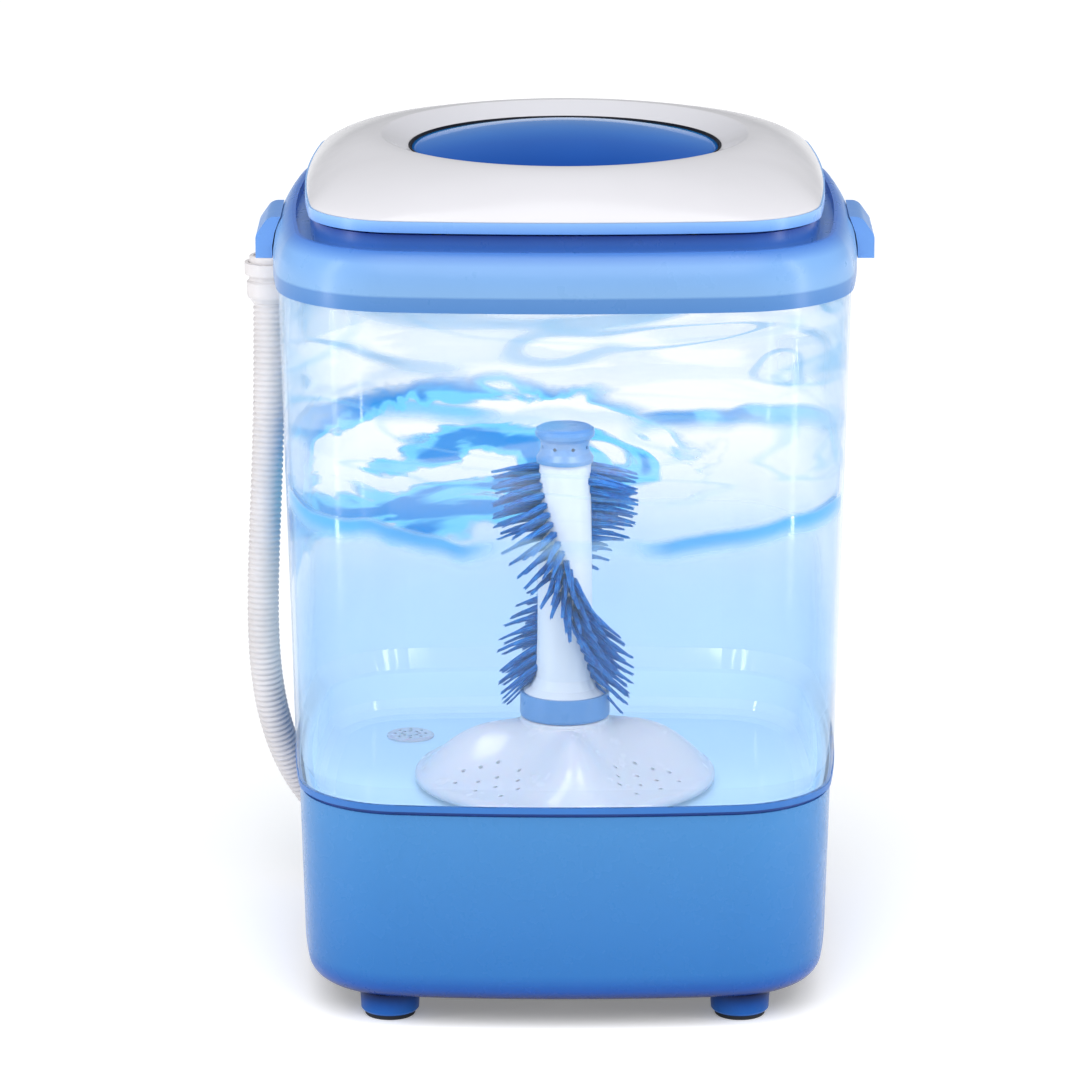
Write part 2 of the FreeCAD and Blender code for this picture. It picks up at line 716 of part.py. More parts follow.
def lens():
    """The see-through lid window, a shallow cap on a thin gasket."""
    seat = dims.crest_top - 8.7
    inner, outer = dims.lens_radius - 3.6, dims.lens_radius + 0.6
    gasket = turned("lens_gasket", [(inner, seat), (outer, seat), (outer, seat + 0.6), (inner, seat + 0.6)])
    node(gasket, "lens_gasket")
    rise = DRIVING["lens_top"] - (DRIVING["crest_top"] - 8.1) - 1.6
    curve = (DRIVING["lens_radius"] ** 2 + rise ** 2) / (2 * rise)
    outer = doc.addObject("Part::Sphere", "lens_outer_ball")
    outer.Radius = curve
    place_at(outer, (0.0, 0.0, dims.lens_top - curve))
    inner = doc.addObject("Part::Sphere", "lens_inner_ball")
    inner.Radius = curve - 2.2
    place_at(inner, (0.0, 0.0, dims.lens_top - curve))
    blank = cylinder("lens_blank", dims.lens_radius, 16.0, (0.0, 0.0, seat + 0.7))
    cap = doc.addObject("Part::Common", "lens_cap")
    cap.Base = outer
    cap.Tool = blank
    node(cut("lid_lens", cap, inner), "lid_lens")


# ---------------------------------------------------------------------------------------------
# Pulsator and brush
# ---------------------------------------------------------------------------------------------

LOBES = 4


def disc_height(radius):
    """The pulsator's upper face between its rim and its hub, without the lobes."""
    share = (DRIVING["disc_radius"] - radius) / (DRIVING["disc_radius"] - DRIVING["hub_radius"])
    return DRIVING["disc_low"] + 5.0 + 9.0 * share + 20.0 * share ** 4


def pulsator_disc():
    """The white disc: a swelling dish with four soft lobes, a hub, and drain holes between the lobes."""
    low, skin = dims.disc_low, 2.6
    rim, hub = DRIVING["disc_radius"], DRIVING["hub_radius"]
    radii = [rim - (rim - hub) * step / 12 for step in range(13)]
    upper = [(radius, disc_height(radius)) for radius in radii[1:]]
    lower = [(radius - 1.2, disc_height(radius) - skin) for radius in radii[1:10]]
    hollow_rim = dims.disc_radius - skin
    profile = [(dims.disc_radius, low), (dims.disc_radius, low + 3.6), (dims.disc_radius - 0.6, low + 4.8)]
    profile += upper + [(dims.hub_radius, dims.hub_top), (11.4, dims.hub_top), (11.4, dims.hub_top + 6.0),
                        (2.75, dims.hub_top + 6.0), (2.75, 138.2), (dims.shaft_radius + 0.05, 138.2),
                        (dims.shaft_radius + 0.05, low), (13.0, low), (13.0, 124.0)]
    profile += lower[::-1] + [(hollow_rim, low + 2.4), (hollow_rim, low)]
    dish = turned("pulsator_dish", profile)
    room = turned("pulsator_room", [(13.0, low - 12.0), (13.0, 124.0)] + lower[::-1]
                  + [(hollow_rim, low + 2.4), (hollow_rim, low - 12.0)])
    lobes = []
    for step in range(LOBES):
        turn = math.radians(90.0 * step)
        lobe = doc.addObject("Part::Ellipsoid", "pulsator_lobe")
        lobe.Radius1, lobe.Radius2, lobe.Radius3 = 11.5, 29.0, 13.5
        lobe.Angle1 = 0.0
        place_at(lobe, (52.0 * math.cos(turn), 52.0 * math.sin(turn), low + 4.4))
        lobe.Placement = Placement(lobe.Placement.Base, Rotation(Vector(0, 0, 1), 90.0 * step + 8.0))
        lobes.append(lobe)
    swell = cut("pulsator_lobes", fuse("pulsator_lobe_set", *lobes), room)
    drills = []
    for step in range(LOBES):
        for reach, spread in ((48.0, (-10, 10)), (57.0, (-15, 0, 15)), (66.0, (-19, -6, 6, 19)),
                              (75.0, (-14, 0, 14))):
            for degrees in spread:
                turn = math.radians(90.0 * step + 47.0 + degrees)
                drills.append(cylinder("pulsator_drain", 1.1, 22.0, (reach * math.cos(turn),
                                                                     reach * math.sin(turn), low)))
    node(cut("pulsator_disc", fuse("pulsator_blank", dish, swell), *drills), "pulsator_disc")


def pulsator_shaft_line():
    """The shaft with its top screw, the driven pulley and the pulley's nut."""
    radius = dims.shaft_radius
    shaft = turned("pulsator_shaft", [(0, 19.6), (radius - 0.6, 19.6), (radius, 20.2), (radius, 138.0),
                                      (2.7, 138.0), (2.7, 126.0), (0, 126.0)])
    node(shaft, "pulsator_shaft")
    top_screw = screw("pulsator_screw", (0.0, 0.0, dims.hub_top + 8.2), 5.4, 2.2, 2.5, 21.0,
                      Vector(0, 0, -1))
    node(top_screw, "pulsator_screw")
    middle, rim, groove = dims.belt_level, dims.pulley_radius, dims.pulley_groove
    bore = radius + 0.05
    pulley = turned("driven_pulley", [(bore, middle - 6), (12, middle - 6), (12, middle - 2), (43, middle - 2),
                                      (43, middle - 5), (rim, middle - 5), (rim, middle - 4),
                                      (groove, middle - 1.4), (groove, middle + 1.4), (rim, middle + 4),
                                      (rim, middle + 5), (43, middle + 5), (43, middle + 2), (12, middle + 2),
                                      (12, middle + 7), (bore, middle + 7)])
    lightening = [cylinder("pulley_opening", 9.0, 8.0,
                           (27.5 * math.cos(turn), 27.5 * math.sin(turn), middle - 4.0))
                  for turn in (math.radians(60 * step) for step in range(6))]
    node(cut("driven_pulley", pulley, *lightening), "driven_pulley")
    blank = doc.addObject("Part::Prism", "pulley_nut_blank")
    blank.Polygon = 6
    blank.Circumradius = 7.6
    blank.Height = 4.2
    place_at(blank, (0.0, 0.0, middle - 10.3))
    node(cut("pulley_nut", blank, cylinder("pulley_nut_bore", bore, 8.0, (0.0, 0.0, middle - 12))),
         "pulley_nut")


def brush():
    """The lift-off brush: blue ring, pale core, two helical bristle rows and a blue cap."""
    low = dims.hub_top + 0.3
    ring = turned("brush_ring", [(12.2, low), (25.6, low), (26.1, low + 1.4), (25.8, low + 14.2),
                                 (24.0, low + 14.2), (24.0, low + 11.0), (12.2, low + 11.0)])
    node(ring, "brush_ring")
    radius, top = dims.core_radius, dims.core_top
    core = turned("brush_core", [(12.4, low + 11.1), (23.8, low + 11.1), (23.8, low + 14.4), (19.6, low + 17.4),
                                 (radius + 1.4, low + 23), (radius + 0.4, low + 45), (radius - 0.4, top - 30),
                                 (radius - 0.6, top), (12.4, top)])
    node(core, "brush_core")
    cap = turned("brush_cap", [(0, top - 7), (12.2, top - 7), (12.2, top + 0.1), (16.2, top + 0.1),
                               (16.6, top + 2.6), (14.6, top + 6), (13.7, top + 9.5), (14.4, top + 13),
                               (16.8, top + 15.4), (17.2, top + 17.4), (16.6, top + 19.6),
                               (14.6, top + 20.7), (0, top + 20.7)])
    drains = [cylinder("cap_drain", 1.1, 30.0, (0.0, 0.0, top + 9.5),
                       Vector(math.cos(turn), math.sin(turn), 0))
              for turn in (math.radians(45 * step + 20) for step in range(8))]
    node(cut("brush_cap", cap, *drains), "brush_cap")
    body = new_body("brush_bristles")
    sketch = new_sketch(body, "bristle_section", "XZ_Plane", 0.0)
    start, high = dims.bristle_low, dims.bristle_low + 11.0
    reach = dims.bristle_reach
    polygon(sketch, [(radius - 0.8, start + 3.0), (reach, start), (reach, high), (radius - 0.8, high - 3.0)])
    helix = body.newObject("PartDesign::AdditiveHelix", "bristle_row")
    helix.Profile = sketch
    helix.ReferenceAxis = (sketch, ["V_Axis"])
    helix.Mode = "pitch-height-angle"
    helix.setExpression("Pitch", text(dims.bristle_pitch))
    helix.setExpression("Height", text(dims.bristle_high - dims.bristle_low - 11.0))
    helix.LeftHanded = True
    helix.Reversed = False
    finish_feature(helix, 0.0, True)
    polar(body, "bristle_rows", helix, 2)
    node(body, "brush_bristles")


# ---------------------------------------------------------------------------------------------
# Bearings, motor and belt
# ---------------------------------------------------------------------------------------------

def bearing_group():
    """The bearing housing under the tub floor, two bearings and the shaft seal."""
    top = dims.tub_floor_top - dims.tub_floor_thick - 0.1
    housing = turned("bearing_housing", [(11, 44.0), (20, 44.0), (20, 94.0), (36, 96.4), (36, top),
                                         (15.8, top), (15.8, top + 4.6), (11, top + 4.6), (11, 84.0),
                                         (6.5, 84.0), (6.5, 53.0), (11, 53.0)])
    holes = [cylinder("housing_screw_hole", SCREW_HOLE, 12.0, (across, along, 92.0))
             for across, along in HOUSING_SCREWS]
    node(cut("bearing_housing", housing, *holes), "bearing_housing")
    bore = dims.shaft_radius + 0.05
    for label, low in (("bearing_lower", 45.8), ("bearing_upper", 84.1)):
        ring = turned(label, [(bore, low), (10.95, low), (10.95, low + 7), (bore, low + 7)])
        node(ring, label)
    seal = turned("shaft_seal", [(5.6, 93.5), (10.9, 93.5), (10.9, 104.0), (dims.shaft_radius + 0.15, 104.0),
                                 (dims.shaft_radius + 0.15, 101.5), (5.6, 101.5)])
    node(seal, "shaft_seal")
    screws = [screw("housing_screw", (across, along, 92.4), 3.2, 2.0, SCREW_SHANK, 7.2)
              for across, along in HOUSING_SCREWS]
    screws += [screw("bracket_screw", (across, along, 94.0), 3.2, 2.0, SCREW_SHANK, 5.6)
               for across, along in BRACKET_SCREWS]
    node(group("floor_screws", screws), "floor_screws")


def motor():
    """The offset motor that hangs under the tub floor, its shaft down to the belt."""
    at = (dims.motor_across, 0.0, 0.0)
    middle, radius, half = dims.motor_middle, dims.motor_radius, dims.stator_tall * 0.5
    node(turned("motor_stator", [(19.2, middle - half), (radius, middle - half), (radius, middle + half),
                                 (19.2, middle + half)], at), "motor_stator")
    for label, way in (("motor_cover_top", 1), ("motor_cover_bottom", -1)):
        corners = [(8, 27.2), (radius - 1.5, 27.2), (radius, 25.7), (radius, half + 0.1),
                   (radius - 2, half + 0.1), (radius - 2, 24.8), (10.6, 24.8), (10.6, 19.0), (8, 19.0)]
        cover = turned(label, [(across, middle + step * way) for across, step in corners], at)
        node(cover, label)
    bushes = [turned("motor_bush", [(dims.shaft_radius + 0.05, middle + low), (7.95, middle + low),
                                    (7.95, middle + low + 7.6), (dims.shaft_radius + 0.05, middle + low + 7.6)],
                     at) for low in (19.2, -26.8)]
    node(group("motor_bushes", bushes), "motor_bushes")
    coils = []
    for way in (-1, 1):
        coil = doc.addObject("Part::Torus", "end_turns")
        coil.Radius1 = 25.0
        coil.Radius2 = 4.2
        coils.append(place_at(coil, (dims.motor_across, 0.0, middle + way * (half + 4.4))))
    node(group("motor_windings", coils), "motor_windings")
    plate = block("bracket_plate", (dims.motor_across - 37.0, -31.0, 96.4),
                  (dims.motor_across + 37.0, 31.0, 99.8))
    holes = [cylinder("bracket_centre", 12.0, 10.0, (dims.motor_across, 0.0, 92.0))]
    holes += [cylinder("bracket_screw_hole", SCREW_HOLE, 12.0, (across, along, 92.0))
              for across, along in BRACKET_SCREWS]
    node(cut("motor_bracket", plate, *holes), "motor_bracket")
    bore = dims.shaft_radius + 0.02
    node(turned("rotor_core", [(bore, middle - half + 0.5), (18.7, middle - half + 0.5),
                               (18.7, middle + half - 0.5), (bore, middle + half - 0.5)], at), "rotor_core")
    node(turned("motor_shaft", [(0, 23.0), (dims.shaft_radius, 23.0), (dims.shaft_radius, 95.4), (0, 95.4)],
                at), "motor_shaft")
    level, rim, groove = dims.belt_level, dims.motor_pulley_radius, dims.motor_groove
    node(turned("motor_pulley", [(bore, level - 6), (rim, level - 6), (rim, level - 4), (groove, level - 1.4),
                                 (groove, level + 1.4), (rim, level + 4), (rim, level + 5.4),
                                 (bore, level + 5.4)], at), "motor_pulley")
    fan = new_body("cooling_fan")
    revolve(fan, "fan_disc", [(bore, 36.6), (9, 36.6), (9, 39.6), (24, 39.6), (24, 40.8), (bore, 40.8)])
    before = tip_volume(fan)
    sketch = new_sketch(fan, "fan_blade_sketch", "XY_Plane", 36.8)
    polygon(sketch, [(8.6, 0.4), (23.6, 3.2), (23.6, 4.6), (8.6, 1.8)])
    blade = fan.newObject("PartDesign::Pad", "fan_blade")
    blade.Profile = sketch
    blade.Length = 3.0
    finish_feature(blade, before, True)
    polar(fan, "fan_blades", blade, 10)
    place_at(fan, at)
    node(fan, "cooling_fan")


def belt_loop(far, near, apart, low, tall):
    """The solid inside a belt line round two pulleys."""
    lean = math.acos((far - near) / apart)
    big = Part.Circle(Vector(0, 0, low), Vector(0, 0, 1), far)
    small = Part.Circle(Vector(apart, 0, low), Vector(0, 0, 1), near)
    arcs = [Part.ArcOfCircle(big, lean, 2 * math.pi - lean), Part.ArcOfCircle(small, -lean, lean)]
    ends = [(arc.StartPoint, arc.EndPoint) for arc in arcs]
    lines = [Part.LineSegment(ends[0][1], ends[1][0]), Part.LineSegment(ends[1][1], ends[0][0])]
    wire = Part.Wire([arcs[0].toShape(), lines[0].toShape(), arcs[1].toShape(), lines[1].toShape()])
    return Part.Face(wire).extrude(Vector(0, 0, tall))


def drive_belt():
    """The belt from the motor pulley to the driven pulley, clear of both grooves."""
    gap, thick, tall = 0.4, 3.4, 2.4
    far, near = DRIVING["pulley_groove"] + gap, DRIVING["motor_groove"] + gap
    apart, low = DRIVING["motor_across"], DRIVING["belt_level"] - tall / 2
    loop = belt_loop(far + thick, near + thick, apart, low, tall)
    node(shaped("drive_belt", loop.cut(belt_loop(far, near, apart, low, tall))), "drive_belt")


# ---------------------------------------------------------------------------------------------
# Electrics
# ---------------------------------------------------------------------------------------------

def electrics():
    """The run capacitor and its clip, the terminal block, the wind-up timer and the cord gland."""
    across, level = -80.0, 78.0
    node(cylinder("capacitor", 15.0, 56.0, (across, -78.0, level), BACK), "capacitor")
    strap = cylinder("clip_strap", 17.4, 12.0, (across, -56.0, level), BACK)
    tab = block("clip_tab", (across - 9.0, -56.0, level + 14.0), (across + 9.0, -44.0, 99.8))
    hollow = cylinder("clip_hollow", 15.2, 16.0, (across, -58.0, level), BACK)
    node(cut("capacitor_clip", fuse("clip_blank", strap, tab), hollow), "capacitor_clip")
    strip = block("terminal_strip", (-22.0, -104.0, 86.0), (26.0, -86.0, 99.8))
    wells = [cylinder("terminal_well", 3.0, 6.0, (-16.0 + 12.0 * step, -95.0, 83.0)) for step in range(4)]
    node(cut("terminal_block", strip, *wells), "terminal_block")
    bore = cylinder("timer_bore", 3.06, 60.0, (dims.timer_across, 116.0, dims.timer_level), BACK)
    case = block("timer_case", (dims.timer_across - 22.0, 108.0, dims.timer_level - 21.0),
                 (dims.timer_across + 22.0, 140.0, dims.timer_level + 21.0))
    nose = cylinder("timer_nose", 4.8, 9.0, (dims.timer_across, 138.0, dims.timer_level), BACK)
    node(cut("timer_module", fuse("timer_blank", case, nose), bore), "timer_module")
    node(cylinder("timer_shaft", 3.0, 39.7, (dims.timer_across, 118.0, dims.timer_level), BACK),
         "timer_shaft")
    radius = dims.knob_radius
    dial = turned("knob_dial", [(3.02, 0), (radius, 0), (radius, 3.2), (radius - 2.0, 4.6), (15.6, 5.0),
                                (14.8, 7.6), (14.0, 8.4), (0, 8.4), (0, 6.6), (3.02, 6.6)],
                  (dims.timer_across, 151.3, dims.timer_level), BACK)
    grip = block("knob_grip", (dims.timer_across - 2.6, 159.0, dims.timer_level - 13.4),
                 (dims.timer_across + 2.6, 163.8, dims.timer_level + 13.4))
    node(fuse("timer_knob", dial, grip), "timer_knob")
    gland = turned("cord_gland", [(dims.gland_bore, -12.0), (6.95, -12.0), (6.95, 0.5), (10.0, 0.5),
                                  (10.0, 3.2), (7.4, 4.4), (5.8, 13.0), (dims.gland_bore, 13.0)],
                   (dims.gland_across, 151.3, dims.gland_level), BACK)
    node(gland, "cord_gland")


# ---------------------------------------------------------------------------------------------
# Drain
# ---------------------------------------------------------------------------------------------

# The drain hose's centre line, from the outlet elbow behind the left rear corner up to its cuff.
HOSE_ROUTE = [(-146.3, 134.1, 46.9), (-156.2, 127.6, 62.0), (-165.2, 120.2, 80.5), (-172.4, 113.2, 102.5),
              (-177.2, 107.4, 128.5), (-179.4, 103.6, 158.0), (-179.3, 101.6, 192.0), (-177.6, 100.8, 231.0),
              (-175.4, 100.4, 275.0), (-173.9, 100.1, 321.0), (-173.5, 100.0, 366.0)]


def rounded_path(points):
    """Straight runs joined by tangent arcs as large as the runs allow; returns the wire and radii."""
    points = [Vector(*point) for point in points]
    edges, radii = [], []
    last = points[0]
    for before, here, after in zip(points, points[1:], points[2:]):
        inward, outward = (before - here), (after - here)
        turn = math.pi - inward.getAngle(outward)
        trim = 0.45 * min(inward.Length, outward.Length)
        radii.append(trim / math.tan(turn / 2))
        start = here + inward.normalize() * trim
        end = here + outward.normalize() * trim
        toward = (inward + outward).normalize()
        middle = here + toward * (radii[-1] / math.cos(turn / 2) - radii[-1])
        edges.append(Part.LineSegment(last, start).toShape())
        edges.append(Part.Arc(start, middle, end).toShape())
        last = end
    edges.append(Part.LineSegment(last, points[-1]).toShape())
    return Part.Wire(edges), radii


def tube_along(points, outer, inner):
    """A tube of constant section along a rounded path, checked by its volume."""
    wire, radii = rounded_path(points)
    start = Vector(*points[0])
    way = (Vector(*points[1]) - start).normalize()
    rings = [wire.makePipe(Part.Face(Part.Wire([Part.Circle(start, way, radius).toShape()])))
             for radius in (outer, inner)]
    tube = rings[0].cut(rings[1])
    expected = math.pi * (outer ** 2 - inner ** 2) * wire.Length
    print("tube: length %.1f, radii %s" % (wire.Length, ["%.0f" % radius for radius in radii]))
    if abs(tube.Volume / expected - 1) > 0.01:
        raise RuntimeError("tube volume %.0f, expected %.0f" % (tube.Volume, expected))
    return tube


def drain():
    """The strainer, sump and pipe inside, the outlet elbow, the hose with its cuff, and the clip."""
    offset, level = dims.drain_offset, dims.drain_level
    at = (-offset, offset, 0.0)
    top = dims.tub_floor_top
    strainer = turned("strainer_disc", [(0, top + 0.1), (14.0, top + 0.1), (14.0, top + 1.0),
                                        (12.6, top + 1.8), (0, top + 1.8)], at)
    slots = []
    for step in range(8):
        turn = math.radians(45 * step)
        for reach in (5.0, 9.0):
            slots.append(cylinder("strainer_hole", 1.2, 6.0, (-offset + reach * math.cos(turn),
                                                              offset + reach * math.sin(turn), top - 2)))
    node(cut("drain_strainer", strainer, *slots), "drain_strainer")
    under = top - dims.tub_floor_thick - 0.1
    node(turned("drain_sump", [(5, 80.0), (7.4, 80.0), (7.4, 84.0), (16, 84.0), (16, under), (13, under),
                               (13, 87.0), (5, 87.0)], at), "drain_sump")
    side, low = DRIVING["drain_offset"], DRIVING["drain_level"]
    pipe = tube_along([(-side, side, 79.9), (-side, side, low), (-123.6, 123.6, low)], 7.0, 5.0)
    node(shaped("drain_pipe", pipe), "drain_pipe")
    start = Vector(*HOSE_ROUTE[0])
    way = (Vector(*HOSE_ROUTE[1]) - start).normalize()
    knee = Vector(-139.0, 139.0, low)
    barb_way = (start - knee).normalize()
    reach = (start - knee).Length
    ball = doc.addObject("Part::Sphere", "elbow_ball")
    ball.Radius = 8.0
    place_at(ball, (-139.0, 139.0, level))
    stub = cylinder("elbow_stub", 8.0, 20.8, (-124.3, 124.3, level), CORNER_WAY)
    flange = cylinder("elbow_flange", 11.5, 2.4, (-129.8, 129.8, level), CORNER_WAY)
    barb = cylinder("elbow_barb", 8.0, reach - 0.3, (-139.0, 139.0, level), barb_way)
    bead = cylinder("elbow_bead", 9.0, 3.0, tuple(start - way * 3.05), way)
    bore_in = cylinder("elbow_bore_in", 5.0, 24.0, (-122.0, 122.0, level), CORNER_WAY)
    bore_out = cylinder("elbow_bore_out", 5.0, reach + 6.0, (-139.0, 139.0, level), barb_way)
    node(cut("drain_outlet", fuse("elbow_blank", ball, stub, flange, barb, bead), bore_in, bore_out),
         "drain_outlet")
    hose = tube_along(HOSE_ROUTE, DRIVING["hose_radius"], DRIVING["hose_bore"])
    node(shaped("drain_hose", hose), "drain_hose")
    cuff_low, cuff_top = dims.cuff_low, dims.cuff_top
    cuff_at = (-dims.cuff_across, dims.cuff_along, 0.0)
    cuff = turned("hose_cuff", [(7.3, cuff_low), (9.9, cuff_low), (12.6, cuff_low + 3.4), (13.0, cuff_low + 5),
                                (13.0, cuff_low + 12), (11.7, cuff_low + 13.4), (11.4, cuff_top - 0.6),
                                (10.9, cuff_top), (9.0, cuff_top), (9.0, cuff_low + 6), (7.3, cuff_low + 6)],
                  cuff_at)
    node(cuff, "hose_cuff")
    ring = cylinder("clip_ring", 14.2, 7.0, (-dims.cuff_across, dims.cuff_along, cuff_top - 11.0))
    plate = block("clip_plate", (-dims.cuff_across + 10.6, 95.0, cuff_top - 11.0),
                  (-dims.cuff_across + 13.2, 108.0, dims.band_top - 0.5))
    tongue = block("clip_tongue", (-170.6, 108.4, cuff_top - 11.0), (-165.4, 113.2, 416.0))
    tongue_top = cylinder("clip_tongue_top", 2.6, 4.8, (-168.0, 108.4, 416.0), BACK)
    hollow = cylinder("clip_ring_bore", 11.9, 21.0, (-dims.cuff_across, dims.cuff_along, cuff_top - 20.0))
    blank = fuse("hose_clip_blank", ring, plate, tongue, tongue_top)
    node(cut("hose_clip", blank, hollow), "hose_clip")


# ---------------------------------------------------------------------------------------------
# Build, check and write
# ---------------------------------------------------------------------------------------------

for build in (base_housing, bottom_cover, feet, seam, tub, collar_frame, handles, hinge_pins, lid_buffers,
              lid_frame, lid_shell, lens, pulsator_disc, pulsator_shaft_line, brush, bearing_group, motor,
              drive_belt, electrics, drain):
    build()
doc.recompute()

for thing in doc.Objects:
    if {"Invalid", "Error"} & set(thing.State):
        raise RuntimeError("%s failed: %s" % (thing.Name, thing.State))
labels = [thing.Label for thing in nodes]
if len(set(labels)) != len(labels):
    raise RuntimeError("two sub-parts share a label")
for thing in nodes:
    if thing.Shape.isNull() or not thing.Shape.isValid() or thing.Shape.Volume <= 0:
        raise RuntimeError("%s has no valid shape" % thing.Label)
    thing.Shape.exportStep("parts/%s.step" % thing.Label)
print("%d sub-parts written" % len(nodes))
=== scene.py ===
# A portable mini washer: a see-through tub on a blue base, a blue collar with a domed lid, and a
# scrubbing brush that stands on a slowly turning disc. Metres, +Z up, front at -Y.

import math

import bmesh
import bpy
from mathutils import Matrix, Vector


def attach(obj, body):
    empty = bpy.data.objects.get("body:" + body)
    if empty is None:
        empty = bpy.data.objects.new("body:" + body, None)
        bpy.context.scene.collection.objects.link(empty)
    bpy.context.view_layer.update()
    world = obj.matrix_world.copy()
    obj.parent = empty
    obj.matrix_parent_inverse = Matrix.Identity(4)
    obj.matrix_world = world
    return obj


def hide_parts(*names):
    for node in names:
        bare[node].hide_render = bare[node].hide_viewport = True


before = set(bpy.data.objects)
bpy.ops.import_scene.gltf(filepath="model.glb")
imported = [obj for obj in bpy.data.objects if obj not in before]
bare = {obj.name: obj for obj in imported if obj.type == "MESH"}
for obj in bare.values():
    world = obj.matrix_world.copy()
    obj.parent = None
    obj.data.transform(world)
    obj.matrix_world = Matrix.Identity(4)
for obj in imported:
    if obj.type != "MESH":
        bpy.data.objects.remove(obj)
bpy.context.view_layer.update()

# ---------------------------------------------------------------------------------------------
# Studio. A white floor, an overcast of soft light from above, two tall strip boxes that draw the
# upright highlights on the rounded corners, and two small lamps under the lid that brighten the
# tub's inside. The camera looks from a little above.
# ---------------------------------------------------------------------------------------------


def node_in(tree, kind, inputs=None, **settings):
    """One node, with its settings, and its inputs given as values or as other nodes' outputs."""
    made = tree.nodes.new(kind)
    for name, value in settings.items():
        setattr(made, name, value)
    for name, value in (inputs or {}).items():
        if isinstance(value, bpy.types.NodeSocket):
            tree.links.new(value, made.inputs[name])
        else:
            made.inputs[name].default_value = value
    return made


def paint(red, green, blue):
    """A colour mixed in screen values, as the light values that a shader takes."""
    def linear(part):
        part /= 255
        return part / 12.92 if part <= 0.04045 else ((part + 0.055) / 1.055) ** 2.4
    return (linear(red), linear(green), linear(blue), 1.0)


def mesh_piece(name, points, faces, smooth=True):
    """A new mesh object at the origin, its faces turned outwards."""
    mesh = bpy.data.meshes.new(name)
    mesh.from_pydata([tuple(p) for p in points], [], faces)
    work = bmesh.new()
    work.from_mesh(mesh)
    bmesh.ops.recalc_face_normals(work, faces=work.faces)
    work.to_mesh(mesh)
    work.free()
    mesh.polygons.foreach_set("use_smooth", [smooth] * len(mesh.polygons))
    made = bpy.data.objects.new(name, mesh)
    bpy.context.scene.collection.objects.link(made)
    return made


scene = bpy.context.scene
scene.view_settings.view_transform = "Standard"

floor_half = 14.0
floor = mesh_piece("studio_floor", [(-floor_half, -floor_half, 0), (floor_half, -floor_half, 0),
                                    (floor_half, floor_half, 0), (-floor_half, floor_half, 0)],
                   [(0, 1, 2, 3)], smooth=False)
floor_paint = bpy.data.materials.new("floor_paper")
floor_paint.use_nodes = True
floor_tree = floor_paint.node_tree
floor_shader = floor_tree.nodes["Principled BSDF"]
paper = node_in(floor_tree, "ShaderNodeTexNoise", {
    "Vector": node_in(floor_tree, "ShaderNodeTexCoord").outputs["Object"], "Scale": 2.0})
paper_tone = node_in(floor_tree, "ShaderNodeValToRGB", {"Fac": paper.outputs["Fac"]})
paper_tone.color_ramp.elements[0].color = (0.93, 0.93, 0.94, 1)
paper_tone.color_ramp.elements[1].color = (0.95, 0.95, 0.95, 1)
floor_tree.links.new(paper_tone.outputs["Color"], floor_shader.inputs["Base Color"])
floor_shader.inputs["Roughness"].default_value = 0.9
floor_shader.inputs["Specular IOR Level"].default_value = 0.1
floor_shader.inputs["Emission Color"].default_value = (1, 1, 1, 1)
floor_shader.inputs["Emission Strength"].default_value = 0.22
floor.data.materials.append(floor_paint)

world = bpy.data.worlds.new("studio_air")
world.use_nodes = True
world.node_tree.nodes["Background"].inputs["Color"].default_value = (0.97, 0.985, 1.0, 1)
world.node_tree.nodes["Background"].inputs["Strength"].default_value = 0.34
scene.world = world


def lamp(name, kind, power, place, aim, **settings):
    """A light that stands at a place and looks at another."""
    data = bpy.data.lights.new(name, kind)
    data.energy = power
    for key, value in settings.items():
        setattr(data, key, value)
    made = bpy.data.objects.new(name, data)
    scene.collection.objects.link(made)
    made.location = place
    made.rotation_euler = (Vector(aim) - Vector(place)).to_track_quat("-Z", "Y").to_euler()
    return made


lamp("sky_light", "SUN", 2.2, (0.0, -0.62, 1.0), (0, 0, 0), angle=math.radians(60))
for side, label in ((-1, "left"), (1, "right")):
    lamp("strip_box_" + label, "AREA", 2.2, (side * 0.70, -0.33, 0.46), (0, 0, 0.28),
         shape="RECTANGLE", size=0.05, size_y=0.9).visible_camera = False
    lamp("tub_light_" + label, "AREA", 0.17, (side * 0.085, -0.098, 0.436), (-side * 0.02, 0.05, 0.14),
         shape="RECTANGLE", size=0.10, size_y=0.06).visible_camera = False

camera = bpy.data.objects.new("camera", bpy.data.cameras.new("camera"))
scene.collection.objects.link(camera)
camera.location = (0.0, -3.410, 1.1128)
camera.rotation_euler = (Vector((0, 0, 0.250)) - camera.location).to_track_quat("-Z", "Y").to_euler()
camera.data.sensor_width = 36.0
camera.data.lens = 203.8
camera.data.shift_x = -0.0231
camera.data.shift_y = -0.0049
camera.data.clip_start, camera.data.clip_end = 0.05, 60
scene.camera = camera

# ---------------------------------------------------------------------------------------------
# Drain hose. A soft grey corrugated hose of blow-moulded plastic that leaves the elbow at the
# rear left corner and climbs to its cuff, which a clip holds on the collar. It is lifted off
# the clip and laid low to empty the tub.
# ---------------------------------------------------------------------------------------------


